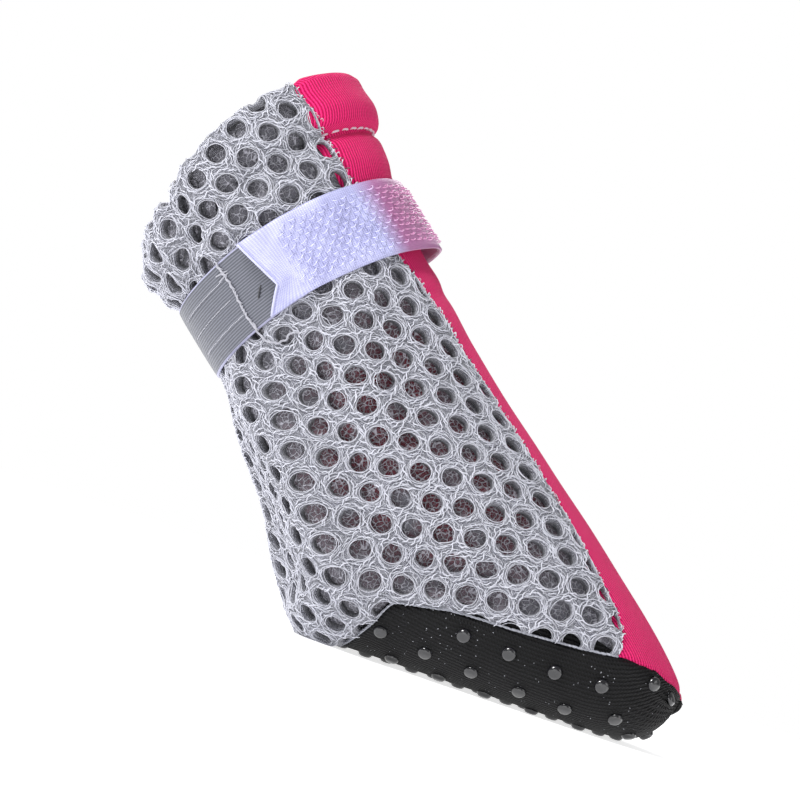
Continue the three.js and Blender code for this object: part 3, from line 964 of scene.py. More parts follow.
# %% Sole cloth
WALE, COURSE = 0.62, 0.5      # the knit's ribs and rows
GLINT_CELLS, GLINT_SHARE = 1.9, 0.26   # cells of painted glints in a millimetre, and the share of cells with a glint


def sole_material():
    """Black polyester knit, nearly matt, with a few painted glints: small bright specks of painted highlight,
    a little glossier.
    """
    made, tree, shader = new_material(
        "black_sole_knit", "#121215", 0.6, sheen_weight=0.0, specular_ior_level=0.22)
    u, v = uv_axes(tree)
    mm = object_mm(tree)
    soft = maths(tree, "MULTIPLY_ADD", noise(tree, mm, 0.8, 2.0), 0.35, u)
    wales = wave(tree, soft, WALE)
    courses = wave(tree, maths(tree, "MULTIPLY_ADD", wales, 0.2, v), COURSE)
    height = maths(tree, "MULTIPLY_ADD", courses, 0.45, wales)
    # Painted glints: a share of small cells is coloured pale grey as painted highlight, and made a little
    # glossier.
    glint_cell = node(tree, "ShaderNodeTexVoronoi", {"Vector": mm, "Scale": GLINT_CELLS})
    near = maths(tree, "LESS_THAN", glint_cell.outputs["Distance"], 0.11)
    pick = node(tree, "ShaderNodeSeparateXYZ", {0: glint_cell.outputs["Color"]}).outputs["X"]
    glint = maths(tree, "MULTIPLY", near, maths(tree, "GREATER_THAN", pick, 1 - GLINT_SHARE))
    tone = ramp(tree, maths(tree, "MULTIPLY", height, 0.7), [
        (0.0, "#000000"), (0.6, "#030304"), (1.0, "#101014")])
    tree.links.new(blend(tree, glint, tone, "#C9CBD4"), shader.inputs["Base Color"])
    tree.links.new(maths(tree, "MULTIPLY_ADD", glint, -0.4, 0.62), shader.inputs["Roughness"])
    tree.links.new(bump(tree, height, 0.16, 0.9), shader.inputs["Normal"])
    return made


SOLE_CLOTH = sole_material()

# %% The cup
SOLE_LEVEL = 0.62     # the cloth's height above the floor, on its dots
GATHERS = 54          # small pleats in a full turn of the toe


def sole_cup():
    """The cup, with its edge tucked a millimetre under the net and its toe gathered by the seam."""
    places = np.concatenate([np.linspace(-NOSE, 1.0, 26)[:-1], np.linspace(1.0, SOLE_END, 130)])[:, None]
    edge = np.maximum(sole_edge(places) - 0.07 * smooth(places, 1.5, 3.0), 0.02)
    share = np.linspace(-1, 1, 121)[None, :]
    share = np.sign(share) * np.abs(share) ** 0.9
    angle = math.pi + (math.pi - edge) * share
    under = smooth(-sole_inside(last_point(places, angle)), -1.3, 0.9) * smooth(places, 1.0, 3.0)
    toe = 1 - smooth(places, 1.5, 3.2)
    gather = 0.13 * np.sin(angle * GATHERS) * toe * smooth(np.abs(share), 0.3, 0.6)
    lip = 0.15 * bell(np.abs(share), 0.97, 0.03) * toe
    grid = skin(places, angle, 0.12 - 0.95 * under + gather + lip)
    grid[..., 2] = np.maximum(grid[..., 2], SOLE_LEVEL)
    return sheet_of("sole_cloth", grid, cloth_uv(grid), SOLE_CLOTH, flip=True), grid


sole, SOLE_GRID = sole_cup()
count(sole)

# %% [markdown]
# ### Grip dots
# Soft plastic is moulded on the flat cloth through a plate with holes, which leaves low domes in staggered
# rows. They are laid out on the cloth's own millimetres, so they follow it up the side of the cup.

# %% Grip dots
DOT_MATERIAL = new_material(   # soft PVC, moulded smooth: black with small bright highlights
    "soft_pvc_dot", "#141418", 0.2, coat_weight=0.6, coat_roughness=0.12, specular_ior_level=0.6)[0]
DOT_RADIUS, DOT_TALL, DOT_PITCH, DOT_ROW = 1.1, 0.6, 7.2, 5.6
DOT_PROFILE = ((1.0, -0.25), (1.0, 0.1), (0.9, 0.5), (0.72, 0.85), (0.4, 1.0))   # share of radius, of height
DOT_START, DOT_MARGIN = 7.2, 1.7    # first dot back from the toe, and room left at the cup's edge


def dome():
    rings = [(DOT_RADIUS * r, DOT_TALL * h) for r, h in DOT_PROFILE]
    sides = 20
    points = [(r * math.cos(2 * math.pi * k / sides), r * math.sin(2 * math.pi * k / sides), h)
              for r, h in rings for k in range(sides)]
    return little_part("dot", points, tube_faces(len(rings), sides))


def dot_places():
    """Staggered rows on the flat cloth, before it is drawn up; outer dots ride up the cup's side."""
    uv = cloth_uv(SOLE_GRID)
    middle = SOLE_GRID.shape[1] // 2
    start = np.interp(-(TOE_X - DOT_START), -SOLE_GRID[:, middle, 0], uv[:, middle, 1])
    normals = unit(np.cross(np.gradient(SOLE_GRID, axis=0), np.gradient(SOLE_GRID, axis=1)))
    centre = SOLE_GRID.mean((0, 1)) + (0, 0, 14)
    normals = np.where(np.sum(normals * (SOLE_GRID - centre), -1, keepdims=True) < 0, -normals, normals)
    clear = sole_inside(SOLE_GRID) > DOT_MARGIN
    points, outward = [], []
    for row in range(-4, 5):
        for i in range(-1, 9):
            target = (row * DOT_ROW, start + (i + 0.5 * (row % 2)) * DOT_PITCH)
            gap = np.hypot(uv[..., 0] - target[0], uv[..., 1] - target[1]) + np.where(clear, 0, 99)
            k = np.unravel_index(gap.argmin(), gap.shape)
            if gap[k] < 0.5:
                points.append(SOLE_GRID[k])
                outward.append(normals[k])
    return np.array(points), np.array(outward)


dot_at, dot_out = dot_places()
toeward = np.tile((1.0, 0, 0), (len(dot_at), 1))
dots = repeat("sole_dots", dot_at, dot_out, toeward, dome(), DOT_MATERIAL, seed=3)
count(dots)
print(len(dot_at), "dots")

# %% Insole
INSOLE = new_material("grey_insole_foam", "#4A4A50", 0.9)[0]   # thin foam, quite matt
INSOLE_DEPTH, INSOLE_FLOOR = 1.7, 2.6


def insole_sheet():
    """The thin sheet that covers the sole's seam inside."""
    places = np.linspace(0.9, 7.2, 60)[:, None]
    edge = np.minimum(sole_edge(places) + 0.12, math.pi - 0.02)
    edge = np.where(places > 6.0, np.minimum(edge, 2.3), edge)
    angle = math.pi + (math.pi - edge) * np.linspace(-1, 1, 61)[None, :]
    grid = skin(places, angle, -INSOLE_DEPTH)
    grid[..., 2] = np.maximum(grid[..., 2], INSOLE_FLOOR)
    return sheet_of("insole", grid, cloth_uv(grid), INSOLE)


insole = insole_sheet()

# %% [markdown]
# ## The ankle strap
# Two tapes make the strap. Grey reflective tape goes round the back and is sewn to the net near the side
# seam. White hook tape comes round the front and lies over the grey tape's ends. Tape bends round the ankle
# but stays straight across, so each cross-section is drawn between the strap's lower and upper edge.

# %% Tape shapes
TAPE_WIDTH = 12.0
TAPE_COLUMNS = 19      # points across one face of a tape
TAPE_CROWN = 0.12      # how much a tape bulges along its middle


def tape_point(angle, across, out):
    """A point of the strap: across goes from 0 at the lower edge to 1 at the upper edge."""
    up = strap_shift(angle)
    low, high = last_point(STRAP_LOW + up, angle), last_point(STRAP_HIGH + up, angle)
    ring = last_point(STRAP_MIDDLE + up, angle + STEP) - last_point(STRAP_MIDDLE + up, angle - STEP)
    normal = unit(np.cross(high - low, ring))
    from_middle = low - middle_of(np.full(np.shape(angle), STRAP_LOW))
    normal = np.where(np.sum(normal * from_middle, -1, keepdims=True) < 0, -normal, normal)
    return low + (high - low) * np.asarray(across)[..., None] + normal * np.asarray(out)[..., None]


def crown(across):
    return TAPE_CROWN * (1 - (2 * across - 1) ** 4)


# %% A strip of tape
def tape(name, angles, thickness, level, material, bend=None):
    """A strip of tape with rounded edges and closed ends. Level is its underside off the skin at each angle;
    bend adds a further height from the angle and the place across."""
    angles = np.asarray(angles)
    n = TAPE_COLUMNS
    w = np.linspace(0, 1, n)
    top = np.stack([w, np.ones_like(w)], 1)
    ring = np.concatenate([top, [(1.008, 0.5)], top[::-1] * (1, 0), [(-0.008, 0.5)]])
    a = angles[:, None] + 0 * ring[None, :, 0]
    across = ring[None, :, 0] + 0 * a
    out = level(a) + thickness * ring[None, :, 1] + crown(across)
    if bend:
        shift, extra = bend(a, across)
        a, out = a + shift, out + extra
    grid = tape_point(a, across, out)
    run = lengths_along(grid, 0)[:, [n // 2]]
    run = run - np.interp(0.0, angles, run[:, 0]) if angles[0] < 0 < angles[-1] else run
    uv = np.stack([run + 0 * across, across * TAPE_WIDTH], -1)
    uv = np.concatenate([uv, uv[:, :1]], 1)
    rows, cols = grid.shape[:2]
    faces, corner_uv = grid_faces(rows, cols, uv, around=True, flip=True)
    end_faces = [[k, k + 1, 2 * n - 1 - k, 2 * n - k] for k in range(n - 1)]
    end_faces += [[n - 1, n, n + 1], [2 * n, 2 * n + 1, 0]]
    for r in (0, rows - 1):
        for face in end_faces:
            face = face[::-1] if r else face
            faces.append([r * cols + k for k in face])
            corner_uv += [uv[r, k] for k in face]
    return new_object(name, grid.reshape(-1, 3), faces, corner_uv, material), grid


# %% [markdown]
# ### Reflective tape
# Glass beads in a grey binder, printed in fine lines along the tape. It is a little metallic and its cut
# edges are pale. Strong thread in three long rows and a bar tack across hold it to the net.

# %% Reflective tape
TAPE_OFF_SKIN = 0.42           # both tapes' underside
GREY_THICK, HOOK_THICK = 0.5, 0.45
PALE_EDGE = 0.22


def reflective_material():
    """Glass beads on aluminium in a grey binder: a flat, slightly metallic grey with fine printed lines."""
    made, tree, shader = new_material(
        "grey_reflective_tape", "#6C6F75", 0.45, metallic=0.25, specular_ior_level=0.5)
    _, v = uv_axes(tree)
    mm = object_mm(tree)
    lines = wave(tree, maths(tree, "MULTIPLY_ADD", noise(tree, mm, 0.3), 0.15, v), 0.42)
    grain = noise(tree, mm, 7.0, 3.0, 0.7)
    tone = ramp(tree, maths(tree, "MULTIPLY_ADD", grain, 0.35, maths(tree, "MULTIPLY", lines, 0.7)), [
        (0.0, "#43454B"), (0.5, "#5C5E67"), (1.0, "#787A85")])
    off = maths(tree, "ABSOLUTE", maths(tree, "SUBTRACT", v, TAPE_WIDTH / 2))
    edge = maths(tree, "GREATER_THAN", off, TAPE_WIDTH / 2 - PALE_EDGE)
    tree.links.new(blend(tree, edge, tone, "#A3A3BC"), shader.inputs["Base Color"])
    creases = bump(tree, noise(tree, mm, 0.22), 0.6, 0.4)
    tree.links.new(bump(tree, lines, 0.05, 0.7, creases), shader.inputs["Normal"])
    return made


def grey_level(angle):
    return TAPE_OFF_SKIN + 0 * angle


GREY_ANGLES = np.radians(np.linspace(95, 257, 100))
grey, _ = tape("tape_reflective", GREY_ANGLES, GREY_THICK, grey_level, reflective_material())
count(grey)

# %% [markdown]
# ### Hook tape
# White nylon with a plain woven edge on each side and a field of little hooks between. The nylon lets some
# light through, so it looks lilac over the grey net and pink where it crosses the front panel; that pink is a
# painted see-through tint, placed by position.

# %% Nylon of the hook tape
def hook_material(name, pale, tinted, rough):
    """Milky nylon: smooth and pale, with a pink see-through tint painted in by position over the front panel.
    """
    made, tree, shader = new_material(name, pale, rough, specular_ior_level=0.6, sheen_weight=0.1)
    u, v = uv_axes(tree)
    mm = object_mm(tree)
    split = node(tree, "ShaderNodeSeparateXYZ", {0: mm})
    aside = maths(tree, "ABSOLUTE", split.outputs["Y"])
    in_front = fade(tree, split.outputs["X"], -31.0, -26.0)
    over_panel = maths(tree, "MULTIPLY", fade(tree, aside, 15.8, 13.0), in_front)
    weave = maths(tree, "MULTIPLY_ADD", wave(tree, v, 0.3), 0.6, wave(tree, u, 0.36))
    patchy = noise(tree, mm, 0.3, 2.0)
    tone = ramp(tree, maths(tree, "MULTIPLY_ADD", weave, 0.25, maths(tree, "MULTIPLY", patchy, 0.7)), [
        (0.15, "#8F8FB6"), (0.5, pale), (0.85, "#C6C8EC")])
    # Over the front panel the colour turns pink: a painted see-through tint, light through the nylon painted
    # in by position.
    shade = blend(tree, maths(tree, "MULTIPLY", over_panel, 0.85), tone, tinted)
    tree.links.new(shade, shader.inputs["Base Color"])
    tree.links.new(bump(tree, weave, 0.05, 0.6), shader.inputs["Normal"])
    return made


HOOK_TAPE = hook_material("white_nylon_hook_tape", "#ABACD6", "#A8588E", 0.4)
HOOKS = hook_material("clear_nylon_hooks", "#C9CAEC", "#D88DB8", 0.25)

# %% Hook tape
GREY_END, HOOK_START, HOOK_END = 97.0, -113.0, 110.0    # degrees round the ankle
NOTCH_AT, NOTCH_DEEP = 0.28, 0.45                       # the notch's lower corner, as shares of the width


def hook_level(a):
    """The hook tape climbs over the ends of the grey tape."""
    turn = np.degrees(np.abs(a))
    return TAPE_OFF_SKIN + 0.75 * smooth(turn, GREY_END - 15, GREY_END - 3)


def hook_bend(a, across):
    """The lower edge curls clear over the front; the near end lifts and is cut to a notch."""
    flare = 1.8 * np.maximum(np.cos(a), 0) ** 2 * (1 - np.clip(across, 0, 1)) ** 1.6
    end = smooth(np.degrees(a), 92, HOOK_END)
    notch = np.where(across > NOTCH_AT, (1 - across) / (1 - NOTCH_AT),
                     across / NOTCH_AT * (1 + NOTCH_DEEP) - NOTCH_DEEP)
    shift = -math.radians(6.5) * notch * end
    lift = 0.6 * end ** 3 + 0.4 * end ** 2 * notch
    ripple = 0.15 * np.sin(a * 9 + across * 2) * (1 - end)
    return shift, flare + lift + ripple


HOOK_ANGLES = np.radians(np.linspace(HOOK_START, HOOK_END, 150))
hook, HOOK_GRID = tape("tape_hook", HOOK_ANGLES, HOOK_THICK, hook_level, HOOK_TAPE, hook_bend)
count(hook)

# %% [markdown]
# ### The hooks
# Each hook is a short bent thread, cut open at its top. There are hundreds, in rows along the tape, so one
# hook of a few dozen faces is drawn and the tree repeats it with a little change of size and turn.

# %% One hook and places on a tape
HOOK_ROWS, HOOKS_IN_ROW, HOOK_TURN = 11, 41, 5.0


def hook_part():
    a = np.linspace(-0.2, math.pi * 1.15, 8)
    path = np.stack([0.5 * np.cos(a), 0.16 * np.sin(a * 1.5), 0.42 * np.sin(a) + 0.1], 1)
    ring = tube_points(path, 0.085, 5)
    return little_part("hook", ring.reshape(-1, 3), tube_faces(len(path), 5))


def tape_spots(turns, acrosses, level, thickness, bend=None):
    """Places on a tape's top face, with their outward direction and the one along the tape."""
    a, w = np.radians(np.asarray(turns, float)), np.asarray(acrosses, float)
    out = level(a) + thickness + crown(w)
    shift = 0
    if bend:
        shift, extra = bend(a, w)
        out = out + extra
    spot = tape_point(a + shift, w, out)
    outward = tape_point(a + shift, w, out + 1) - spot
    along = tape_point(a + shift + STEP, w, out) - spot
    return spot, outward, along


# %% Field of hooks
rng = np.random.default_rng(7)
hook_turns, hook_across = [], []
for row in range(HOOK_ROWS):
    for i in range(HOOKS_IN_ROW):
        turn = -104 + (i + 0.5 * (row % 2)) * HOOK_TURN
        if turn < 96:
            hook_turns.append(turn + rng.normal(0, 0.35))
            hook_across.append(0.12 + 0.76 * row / (HOOK_ROWS - 1) + rng.normal(0, 0.006))
hook_spots = tape_spots(hook_turns, hook_across, hook_level, HOOK_THICK, hook_bend)
hooks = repeat("tape_hooks", *hook_spots, hook_part(), HOOKS, size_jitter=0.12, turn_jitter=0.3, seed=5)
count(hooks)

# %% [markdown]
# ## Threads
# Stitches are short round threads, each end dipping into the cloth. Loose ends and the raw edge of the net
# give the boot its hand-made look. A bevelled curve could be a thread too; a small tube of few faces is used
# because it repeats cheaply.

# %% Stitch threads
def thread_material(name, base, rough=0.6):
    """Spun polyester: softly shining, with fine fuzz."""
    made, tree, shader = new_material(name, base, rough, sheen_weight=0.2)
    mm = object_mm(tree)
    tree.links.new(bump(tree, noise(tree, mm, 9.0, 2.0), 0.05, 0.6), shader.inputs["Normal"])
    return made


GREY_THREAD = thread_material("grey_sewing_thread", "#A3A3AC")
DARK_THREAD = thread_material("dark_thread", "#3A3B40")
YARN = thread_material("loose_net_yarn", "#CFD0DA", 0.38)
HEM_THREAD = thread_material("pale_rose_thread", "#D9C4D2")


def stitch_part(name, length, radius):
    """One stitch, a thread whose ends dip into the cloth."""
    t = np.linspace(-1, 1, 9)
    path = np.stack([t * length / 2, 0 * t, radius * (1.1 - 2.6 * t ** 6)], 1)
    ring = tube_points(path, radius * (1 - 0.35 * t ** 4), 8)
    return little_part(name, ring.reshape(-1, 3), tube_faces(len(path), 8))


def on_skin(places, angles, height):
    """Points of the cloth with their outward direction and the direction towards a larger angle."""
    spot = skin(places, angles, height)
    outward = skin(places, angles, np.asarray(height) + 1) - spot
    return spot, outward, skin(places, angles + 0.01, height) - spot


# %% Hem stitches
hem_share = np.arange(-0.96, 0.97, 0.12)
hem_angle = float(panel_edge(HEM)) * hem_share
hem_line = hem_place(hem_angle) + 0.03
hem_spots = on_skin(hem_line, hem_angle, panel_height(hem_line, hem_share) + 0.1)
hem_stitches = repeat("hem_stitches", *hem_spots, stitch_part("hem_stitch", 1.35, 0.17), HEM_THREAD,
                      size_jitter=0.1, turn_jitter=0.12, seed=2)
count(hem_stitches)

# %% Sealed end of the hook tape
# The tape is cut with heat, which leaves a thick pale lip.
MELTED = thread_material("melted_nylon_edge", "#BDBEE0", 0.35)
end_edge = HOOK_GRID[-1, :TAPE_COLUMNS]
lip_path = end_edge + 0.12 * unit(end_edge - HOOK_GRID[-3, :TAPE_COLUMNS])
hook_lip = thread("hook_tape_lip", [lip_path], 0.2, MELTED, sides=8)

# %% Rows of stitches on the grey tape
row_turns = np.arange(128, 166, 3.9)
turns = np.concatenate([row_turns + shift for shift in (0, 2, 1)])
acrosses = np.repeat([0.26, 0.52, 0.78], len(row_turns))
row_spots = tape_spots(turns, acrosses, grey_level, GREY_THICK)
tape_rows = repeat("tape_stitches", *row_spots, stitch_part("tape_stitch", 1.5, 0.07), GREY_THREAD,
                   size_jitter=0.15, turn_jitter=0.08, seed=4)

# %% Bar tack across the grey tape, and three single stitches
BAR_TURN, BAR_STITCHES = 124.0, 20
bar_across = np.linspace(0.03, 0.98, BAR_STITCHES)
spot, outward, _ = tape_spots(BAR_TURN + 0.6 * np.sin(bar_across * 7), bar_across, grey_level, GREY_THICK)
bar_tack = repeat("bar_tack", spot, outward, np.gradient(spot, axis=0), stitch_part("bar_stitch", 0.9, 0.17),
                  GREY_THREAD, size_jitter=0.15, turn_jitter=0.5, seed=6)
spot, outward, along = tape_spots([125.0, 125.0, 113.5], [0.80, 0.86, 0.36], grey_level, GREY_THICK)
across_way = np.cross(unit(outward), unit(along))
along = unit(along) + across_way * np.array([[0.12], [-0.2], [0.9]])
cross_tack = repeat("cross_tack", spot[:2], outward[:2], along[:2], stitch_part("cross_stitch", 2.4, 0.12),
                    GREY_THREAD, seed=7)
dark_tack = repeat("dark_tack", spot[2:], outward[2:], along[2:], stitch_part("dark_stitch", 2.2, 0.14),
                   DARK_THREAD, seed=8)
count(tape_rows, bar_tack)

# %% Loose thread tail
TAIL = np.array([  # place, degrees round the ankle, height off the cloth
    (9.30, 124, 1.1), (9.16, 124, 0.9), (9.04, 122, 0.65), (8.97, 118, 0.7), (8.96, 114, 0.75),
    (9.0, 110, 0.7), (8.95, 106, 0.4)])
TAIL_POINTS = np.arange(40)
tail_path = skin(TAIL[:, 0], np.radians(TAIL[:, 1]), TAIL[:, 2])
along_tail = np.linspace(0, len(TAIL) - 1, len(TAIL_POINTS))
tail_path = np.stack([np.interp(along_tail, np.arange(len(TAIL)), tail_path[:, k]) for k in range(3)], 1)
curl = 0.12 * np.stack([np.sin(TAIL_POINTS), np.cos(TAIL_POINTS), 0 * TAIL_POINTS], 1)
thread_tail = thread("thread_tail", [tail_path + curl], 0.16, GREY_THREAD)

# %% [markdown]
# ### Filaments of the net
# Bright filaments run round each hole and along the strands between holes. The ones that ring a hole follow
# the cloth exactly, so they are drawn on the flat chart like the holes. The short bright floats between them
# are one small curved thread, repeated with a different turn each time.

# %% Rings of filament round the holes
RINGS = [  # distance out from the hole's rim, height, thickness
    (0.03, 0.26, 0.075), (0.24, 0.38, 0.065), (0.52, 0.40, 0.06), (0.74, 0.34, 0.055)]
RING_STEPS, RING_SIDES = 20, 3


def round_hole(centre, turn, out, shift=(0.0, 0.0)):
    """Points round a hole on the chart, some way out from its rim."""
    wide = (HOLE_WIDE + out) * np.cos(turn) + shift[0]
    high = (HOLE_HIGH + out) * np.sin(turn) + shift[1]
    return centre + wide[:, None] * ROW_WAY + high[:, None] * UP_WAY


def ring_lines(gen):
    """The rings on the chart, with a height for each point and a thickness for each ring."""
    turn = 2 * math.pi * np.arange(RING_STEPS) / RING_STEPS
    flat, lift, thick = [], [], []
    for centre in CENTRES:
        for out, height, radius in RINGS:
            twice = gen.normal() * np.sin(turn * 2 + gen.uniform(0, 6))
            thrice = gen.normal() * np.sin(turn * 3 + gen.uniform(0, 6))
            wobble = (0.05 + 0.24 * out) * (twice + thrice)
            shift = gen.normal(0, 0.04 + 0.2 * out, 2)
            flat.append(round_hole(centre, turn, out + wobble, shift))
            lift.append(height + 0.09 * np.sin(turn * 3 + gen.uniform(0, 6)))
            thick.append(radius * gen.uniform(0.8, 1.25))
    return np.concatenate(flat), np.concatenate(lift), np.array(thick)


def filament_rings(name, side, seed):
    """Closed three-sided tubes along the rings that lie mostly on the net."""
    flat, lift, thick = ring_lines(np.random.default_rng(seed))
    place, angle, _ = from_chart(flat)
    inside = (angle > panel_edge(place) - 0.03) & (angle < math.pi + 0.04)
    inside = inside & (sole_inside(last_point(place, angle)) < 0.8)
    angle = within_panel(place, angle)
    low = lift - edge_drop(place, angle)
    point = skin(place, angle * -side, low).reshape(-1, RING_STEPS, 3)
    out = unit(skin(place, angle * -side, low + 0.5).reshape(-1, RING_STEPS, 3) - point)
    run = np.roll(point, -1, 1) - np.roll(point, 1, 1)
    keep = inside.reshape(-1, RING_STEPS).mean(1) > 0.55
    point, out, run, thick = point[keep], out[keep], unit(run[keep]), thick[keep]
    aside = unit(np.cross(run, out))
    a = 2 * math.pi * np.arange(RING_SIDES) / RING_SIDES
    tube = point[:, :, None] + thick[:, None, None, None] * (
        out[:, :, None] * np.cos(a)[:, None] + aside[:, :, None] * np.sin(a)[:, None])
    tube[..., 2] = np.maximum(tube[..., 2], 0.04)
    ids = np.arange(tube.shape[0] * RING_STEPS * RING_SIDES).reshape(-1, RING_STEPS, RING_SIDES)
    on, up = np.roll(ids, -1, 1), np.roll(ids, -1, 2)
    faces = np.stack([ids, up, np.roll(on, -1, 2), on], -1).reshape(-1, 4)
    return new_object(name, tube.reshape(-1, 3), faces.tolist(), None, YARN)


rings_near = filament_rings("mesh_rings_near", -1, 51)
rings_far = filament_rings("mesh_rings_far", 1, 52)
count(rings_near, rings_far)


# %% Short floats between the holes
def float_part():
    path = np.array([(-0.7, 0.05, -0.12), (-0.25, -0.1, 0.12), (0.25, 0.1, 0.12), (0.7, -0.05, -0.12)])
    ring = tube_points(path, [0.055, 0.08, 0.08, 0.055], 4)
    return little_part("float", ring.reshape(-1, 3), tube_faces(len(path), 4, closed=False))


FLOAT = float_part()
FLOATS_ROUND_HOLE, FLOAT_HEIGHT = 14, 0.36


def floats(name, side, seed):
    """Short filaments, each lying the way of the turn round its own hole."""
    gen = np.random.default_rng(seed)
    n = FLOATS_ROUND_HOLE
    turns = 2 * math.pi * np.arange(n) / n
    where, toward = [], []
    for centre in CENTRES:
        turned = turns + gen.normal(0, 0.12, n)
        reach = gen.uniform(0.30, 0.78, n)
        where.append(round_hole(centre, turned, reach))
        toward.append(round_hole(centre, turned + 0.22, reach))
    place, angle, _ = from_chart(np.concatenate(where))
    end_place, end_angle, _ = from_chart(np.concatenate(toward))
    keep = (angle > panel_edge(place) + 0.02) & (angle < math.pi - 0.02)
    keep = keep & (sole_inside(last_point(place, angle)) < -0.2)
    level = FLOAT_HEIGHT - edge_drop(place, angle)
    keep = keep & (skin(place, angle * -side, level)[:, 2] > 0.9)
    place, angle, end_place, end_angle = place[keep], angle[keep], end_place[keep], end_angle[keep]
    height = FLOAT_HEIGHT - edge_drop(place, angle) + gen.normal(0, 0.04, len(place))
    spot = skin(place, angle * -side, height)
    outward = skin(place, angle * -side, height + 1) - spot
    along = skin(end_place, end_angle * -side, height) - spot
    return repeat(name, spot, outward, along, FLOAT, YARN, size_jitter=0.25, turn_jitter=0.75, seed=seed)


floats_near = floats("mesh_floats_near", -1, 21)
floats_far = floats("mesh_floats_far", 1, 22)
count(floats_near, floats_far)

# %% [markdown]
# ### Raw edges and the heel seam
# Where the net meets the pink panel and the sole, a loose three-strand edge closes it, with a few frayed
# loops. Down the back, the two side panels are joined by an overlocked seam.

# %% Twisted edge
# A darker grey yarn than the net's own loose yarn.
EDGE_YARN = thread_material("dark_grey_edge_yarn", "#9597A1", 0.6)


def running_length(line):
    """The length along a line up to each of its points."""
    return np.concatenate([[0], np.cumsum(np.linalg.norm(np.diff(line, axis=0), axis=1))])


def edge_rope(name, places, angles, side, height, thick, spread):
    """Three strands twisted round a line on the cloth."""
    core = skin(places, angles * -side, height)
    out = unit(skin(places, angles * -side, height + 0.5) - core)
    aside = np.cross(unit(np.gradient(core, axis=0)), out)
    length = running_length(core)
    paths = []
    for k in range(3):
        twist = length * 3.3 + 2 * math.pi * k / 3 + 0.6 * np.sin(length * 0.9 + k)
        paths.append(core + spread * (out * np.cos(twist)[:, None] + aside * np.sin(twist)[:, None]))
    return thread(name, paths, thick, EDGE_YARN, sides=5, across=(0.31, 0.9, 0.29))


def sole_line():
    """The seam between net and sole, from the front panel to the tail under the heel."""
    places = np.linspace(1.0, SOLE_END - 0.01, 900)
    places = places[sole_edge(places) > panel_edge(places) + 0.01]
    angles = sole_edge(places)
    length = running_length(last_point(places, angles))
    even = np.arange(0, length[-1], 0.28)
    return np.interp(even, length, blur(places, 2)), np.interp(even, length, blur(angles, 2))


sole_places, sole_angles = sole_line()
CORNER = sole_places[0]     # where panel, net and sole meet
panel_places = np.arange(CORNER, COLLAR + 0.3, 0.028)
panel_angles = panel_edge(panel_places) + 0.012
ropes = []
for side, label in ((-1, "near"), (1, "far")):
    ropes.append(edge_rope("net_edge_sole_" + label, sole_places, sole_angles, side, -0.14, 0.08, 0.12))
    ropes.append(edge_rope("net_edge_panel_" + label, panel_places, panel_angles, side, -0.12, 0.07, 0.1))
count(*ropes)


# %% Frayed loops
def loop_part():
    path = np.array([(-0.10, 0, -0.45), (-0.08, 0, -0.1), (0.05, 0.1, 0.16), (0.26, 0.05, 0.2),
                     (0.42, -0.1, 0.02), (0.5, -0.15, -0.25)])
    ring = tube_points(path, [0.05, 0.06, 0.065, 0.065, 0.06, 0.05], 4)
    return little_part("loop", ring.reshape(-1, 3), tube_faces(len(path), 4, closed=False))


LOOP = loop_part()


def edge_fray(name, side, seed):
    """Loose loops up the panel's edge, with a tuft at the toe's corner and none under the strap."""
    gen = np.random.default_rng(seed)
    places = np.arange(2.6, COLLAR, 0.05)
    places = places + gen.normal(0, 0.02, len(places))
    places = places[np.abs(places - 9.8) > 0.55]
    tuft = CORNER + np.abs(gen.normal(0, 0.05, 16))
    places = np.concatenate([places[places > CORNER], tuft])
    angles = panel_edge(places) + gen.normal(0.01, 0.012, len(places))
    spot, outward, along = on_skin(places, angles * -side, gen.normal(0.02, 0.08, len(places)))
    return repeat(name, spot, outward, along * side, LOOP, YARN, size_jitter=0.4, turn_jitter=1.3, seed=seed)


fray_near = edge_fray("mesh_edge_near", -1, 31)
fray_far = edge_fray("mesh_edge_far", 1, 32)

# %% Small dark stitches beside the panel's edge
SEAM_THREAD = thread_material("dull_rose_thread", "#6B3A4C")


def panel_ticks():
    """Stitches across the seam on both sides, below and above the strap."""
    places = np.concatenate([np.arange(CORNER, 9.1, 0.24), np.arange(10.45, 11.9, 0.17)])
    angles = panel_edge(places) - 0.025
    spots = [on_skin(places, angles * sign, -0.12) for sign in (1, -1)]
    spot, outward, along = (np.concatenate(group) for group in zip(*spots))
    return repeat("panel_seam_stitches", spot, outward, along, stitch_part("tick", 1.0, 0.09), SEAM_THREAD,
                  size_jitter=0.2, turn_jitter=0.5, seed=35)


ticks = panel_ticks()


# %% Heel seam
def back_seam():
    """Overlock stitches up the back line, with a gap under the strap."""
    places = np.arange(7.1, COLLAR, 0.04)
    places = places[(places < 9.05) | (places > 10.2)]
    spots = on_skin(places, np.full(len(places), math.pi), 0.22)
    return repeat("heel_seam", *spots, stitch_part("overlock", 1.4, 0.14), YARN,
                  size_jitter=0.15, turn_jitter=0.6, seed=41)


heel_seam = back_seam()
count(fray_near, fray_far, heel_seam)

# %% [markdown]
# ## Hand over to the frame
# The boot is one soft body, so every piece rides the root. The pieces are grouped here by the cloth or tape
# they wear, and these five groups stand in for the CAD's plain walls, which are hidden.

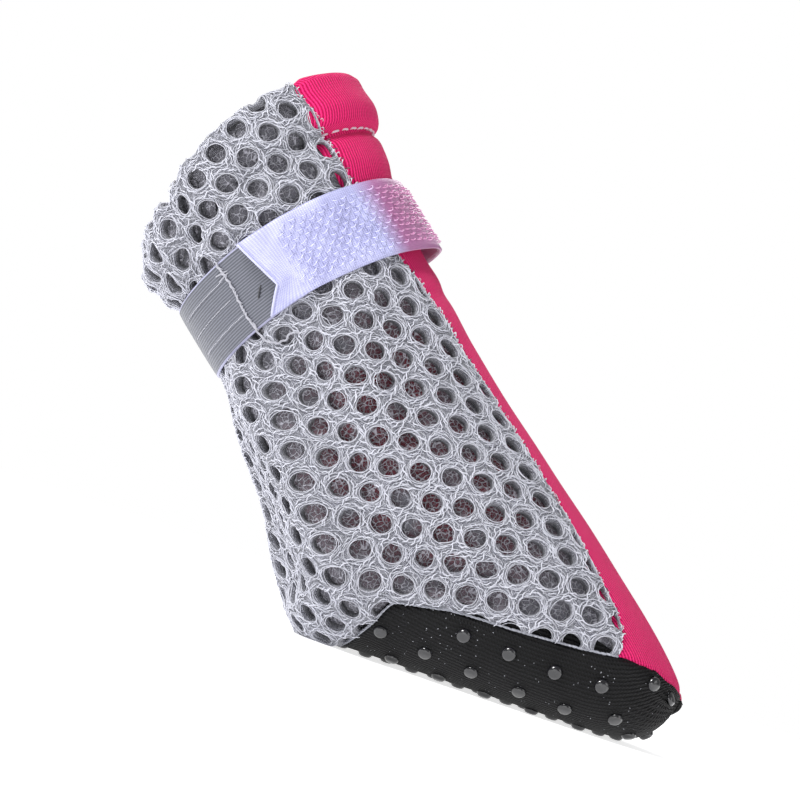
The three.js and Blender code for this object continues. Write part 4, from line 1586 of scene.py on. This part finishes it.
# %% Hand over to the frame
CLOTHS = {
    "air_mesh": [net_near, net_far, rings_near, rings_far, floats_near, floats_far, fray_near, fray_far,
                 backing, heel_seam] + ropes,
    "stretch_knit": [pink, lining, hem_stitches, ticks],
    "sole_cloth": [sole, dots, insole],
    "reflective_tape": [grey, tape_rows, bar_tack, cross_tack, dark_tack, thread_tail],
    "hook_tape": [hook, hook_lip, hooks],
}
for slot_name, objs in CLOTHS.items():
    for obj in objs:
        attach(obj, "root")
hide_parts("upper")
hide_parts("front_panel")
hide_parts("outsole")
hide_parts("strap_reflective")
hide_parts("strap_hook")

# %% [markdown]
# ## Floor, light and camera
# A pale floor and large soft lights give an even look with no hard shadow. The floor glows a little, and the
# sky is white to the eye but dimmer as a light, so the two meet with no line and don't bleach the cloth. The
# camera has a long lens, is just above the floor, and is rolled so that the sole runs down to the right.

# %% Floor
FLOOR_HALF = 3000
floor_material, _, floor_shader = new_material("pale_floor", "#F6F6F8", 0.95)
floor_shader.inputs["Emission Color"].default_value = (1, 1, 1, 1)
floor_shader.inputs["Emission Strength"].default_value = 0.72
floor_corners = [(x * FLOOR_HALF, y * FLOOR_HALF, 0) for x, y in ((-1, -1), (1, -1), (1, 1), (-1, 1))]
floor = new_object("floor", floor_corners, [[0, 1, 2, 3]], None, floor_material)


# %% Light
def look_at(obj, where, aim):
    """Puts a light or camera somewhere and turns it to a point."""
    obj.location = where
    obj.rotation_euler = (Vector(aim) - Vector(where)).to_track_quat("-Z", "Y").to_euler()
    bpy.context.scene.collection.objects.link(obj)


def soft_light(name, where, aim, wide, high, power):
    """A rectangular lamp; the larger it is, the softer its shadow."""
    data = bpy.data.lights.new(name, "AREA")
    data.shape = "RECTANGLE"
    data.size, data.size_y, data.energy = wide, high, power
    look_at(bpy.data.objects.new(name, data), where, aim)


MIDDLE = (0.0, 0.0, 0.035)
soft_light("key", (-0.36, -0.36, 0.50), MIDDLE, 0.22, 0.22, 4.4)
soft_light("fill", (0.55, -0.30, 0.22), MIDDLE, 0.35, 0.35, 0.6)
soft_light("low_front", (-0.05, -0.7, 0.06), MIDDLE, 0.5, 0.1, 0.5)
soft_light("back", (-0.1, 0.55, 0.45), MIDDLE, 0.5, 0.4, 2.4)

# %% Sky
world = bpy.data.worlds.new("studio")
bpy.context.scene.world = world
world.use_nodes = True
sky = world.node_tree
to_eye = node(sky, "ShaderNodeLightPath").outputs["Is Camera Ray"]
strength = node(sky, "ShaderNodeMapRange", {"Value": to_eye, "To Min": 0.30, "To Max": 1.0}).outputs[0]
sky.nodes["Background"].inputs["Color"].default_value = colour("#FFFFFF")
sky.links.new(strength, sky.nodes["Background"].inputs["Strength"])
bpy.context.scene.view_settings.view_transform = "Standard"

# %% Camera
camera_data = bpy.data.cameras.new("camera")
camera_data.lens = 90.0
camera_data.clip_start = 0.01
camera = bpy.data.objects.new("camera", camera_data)
look_at(camera, (-0.0049, -0.302, 0.010), (-0.0049, 0.0, 0.0382))
camera.rotation_euler.rotate_axis("Z", math.radians(18.6))
bpy.context.scene.camera = camera
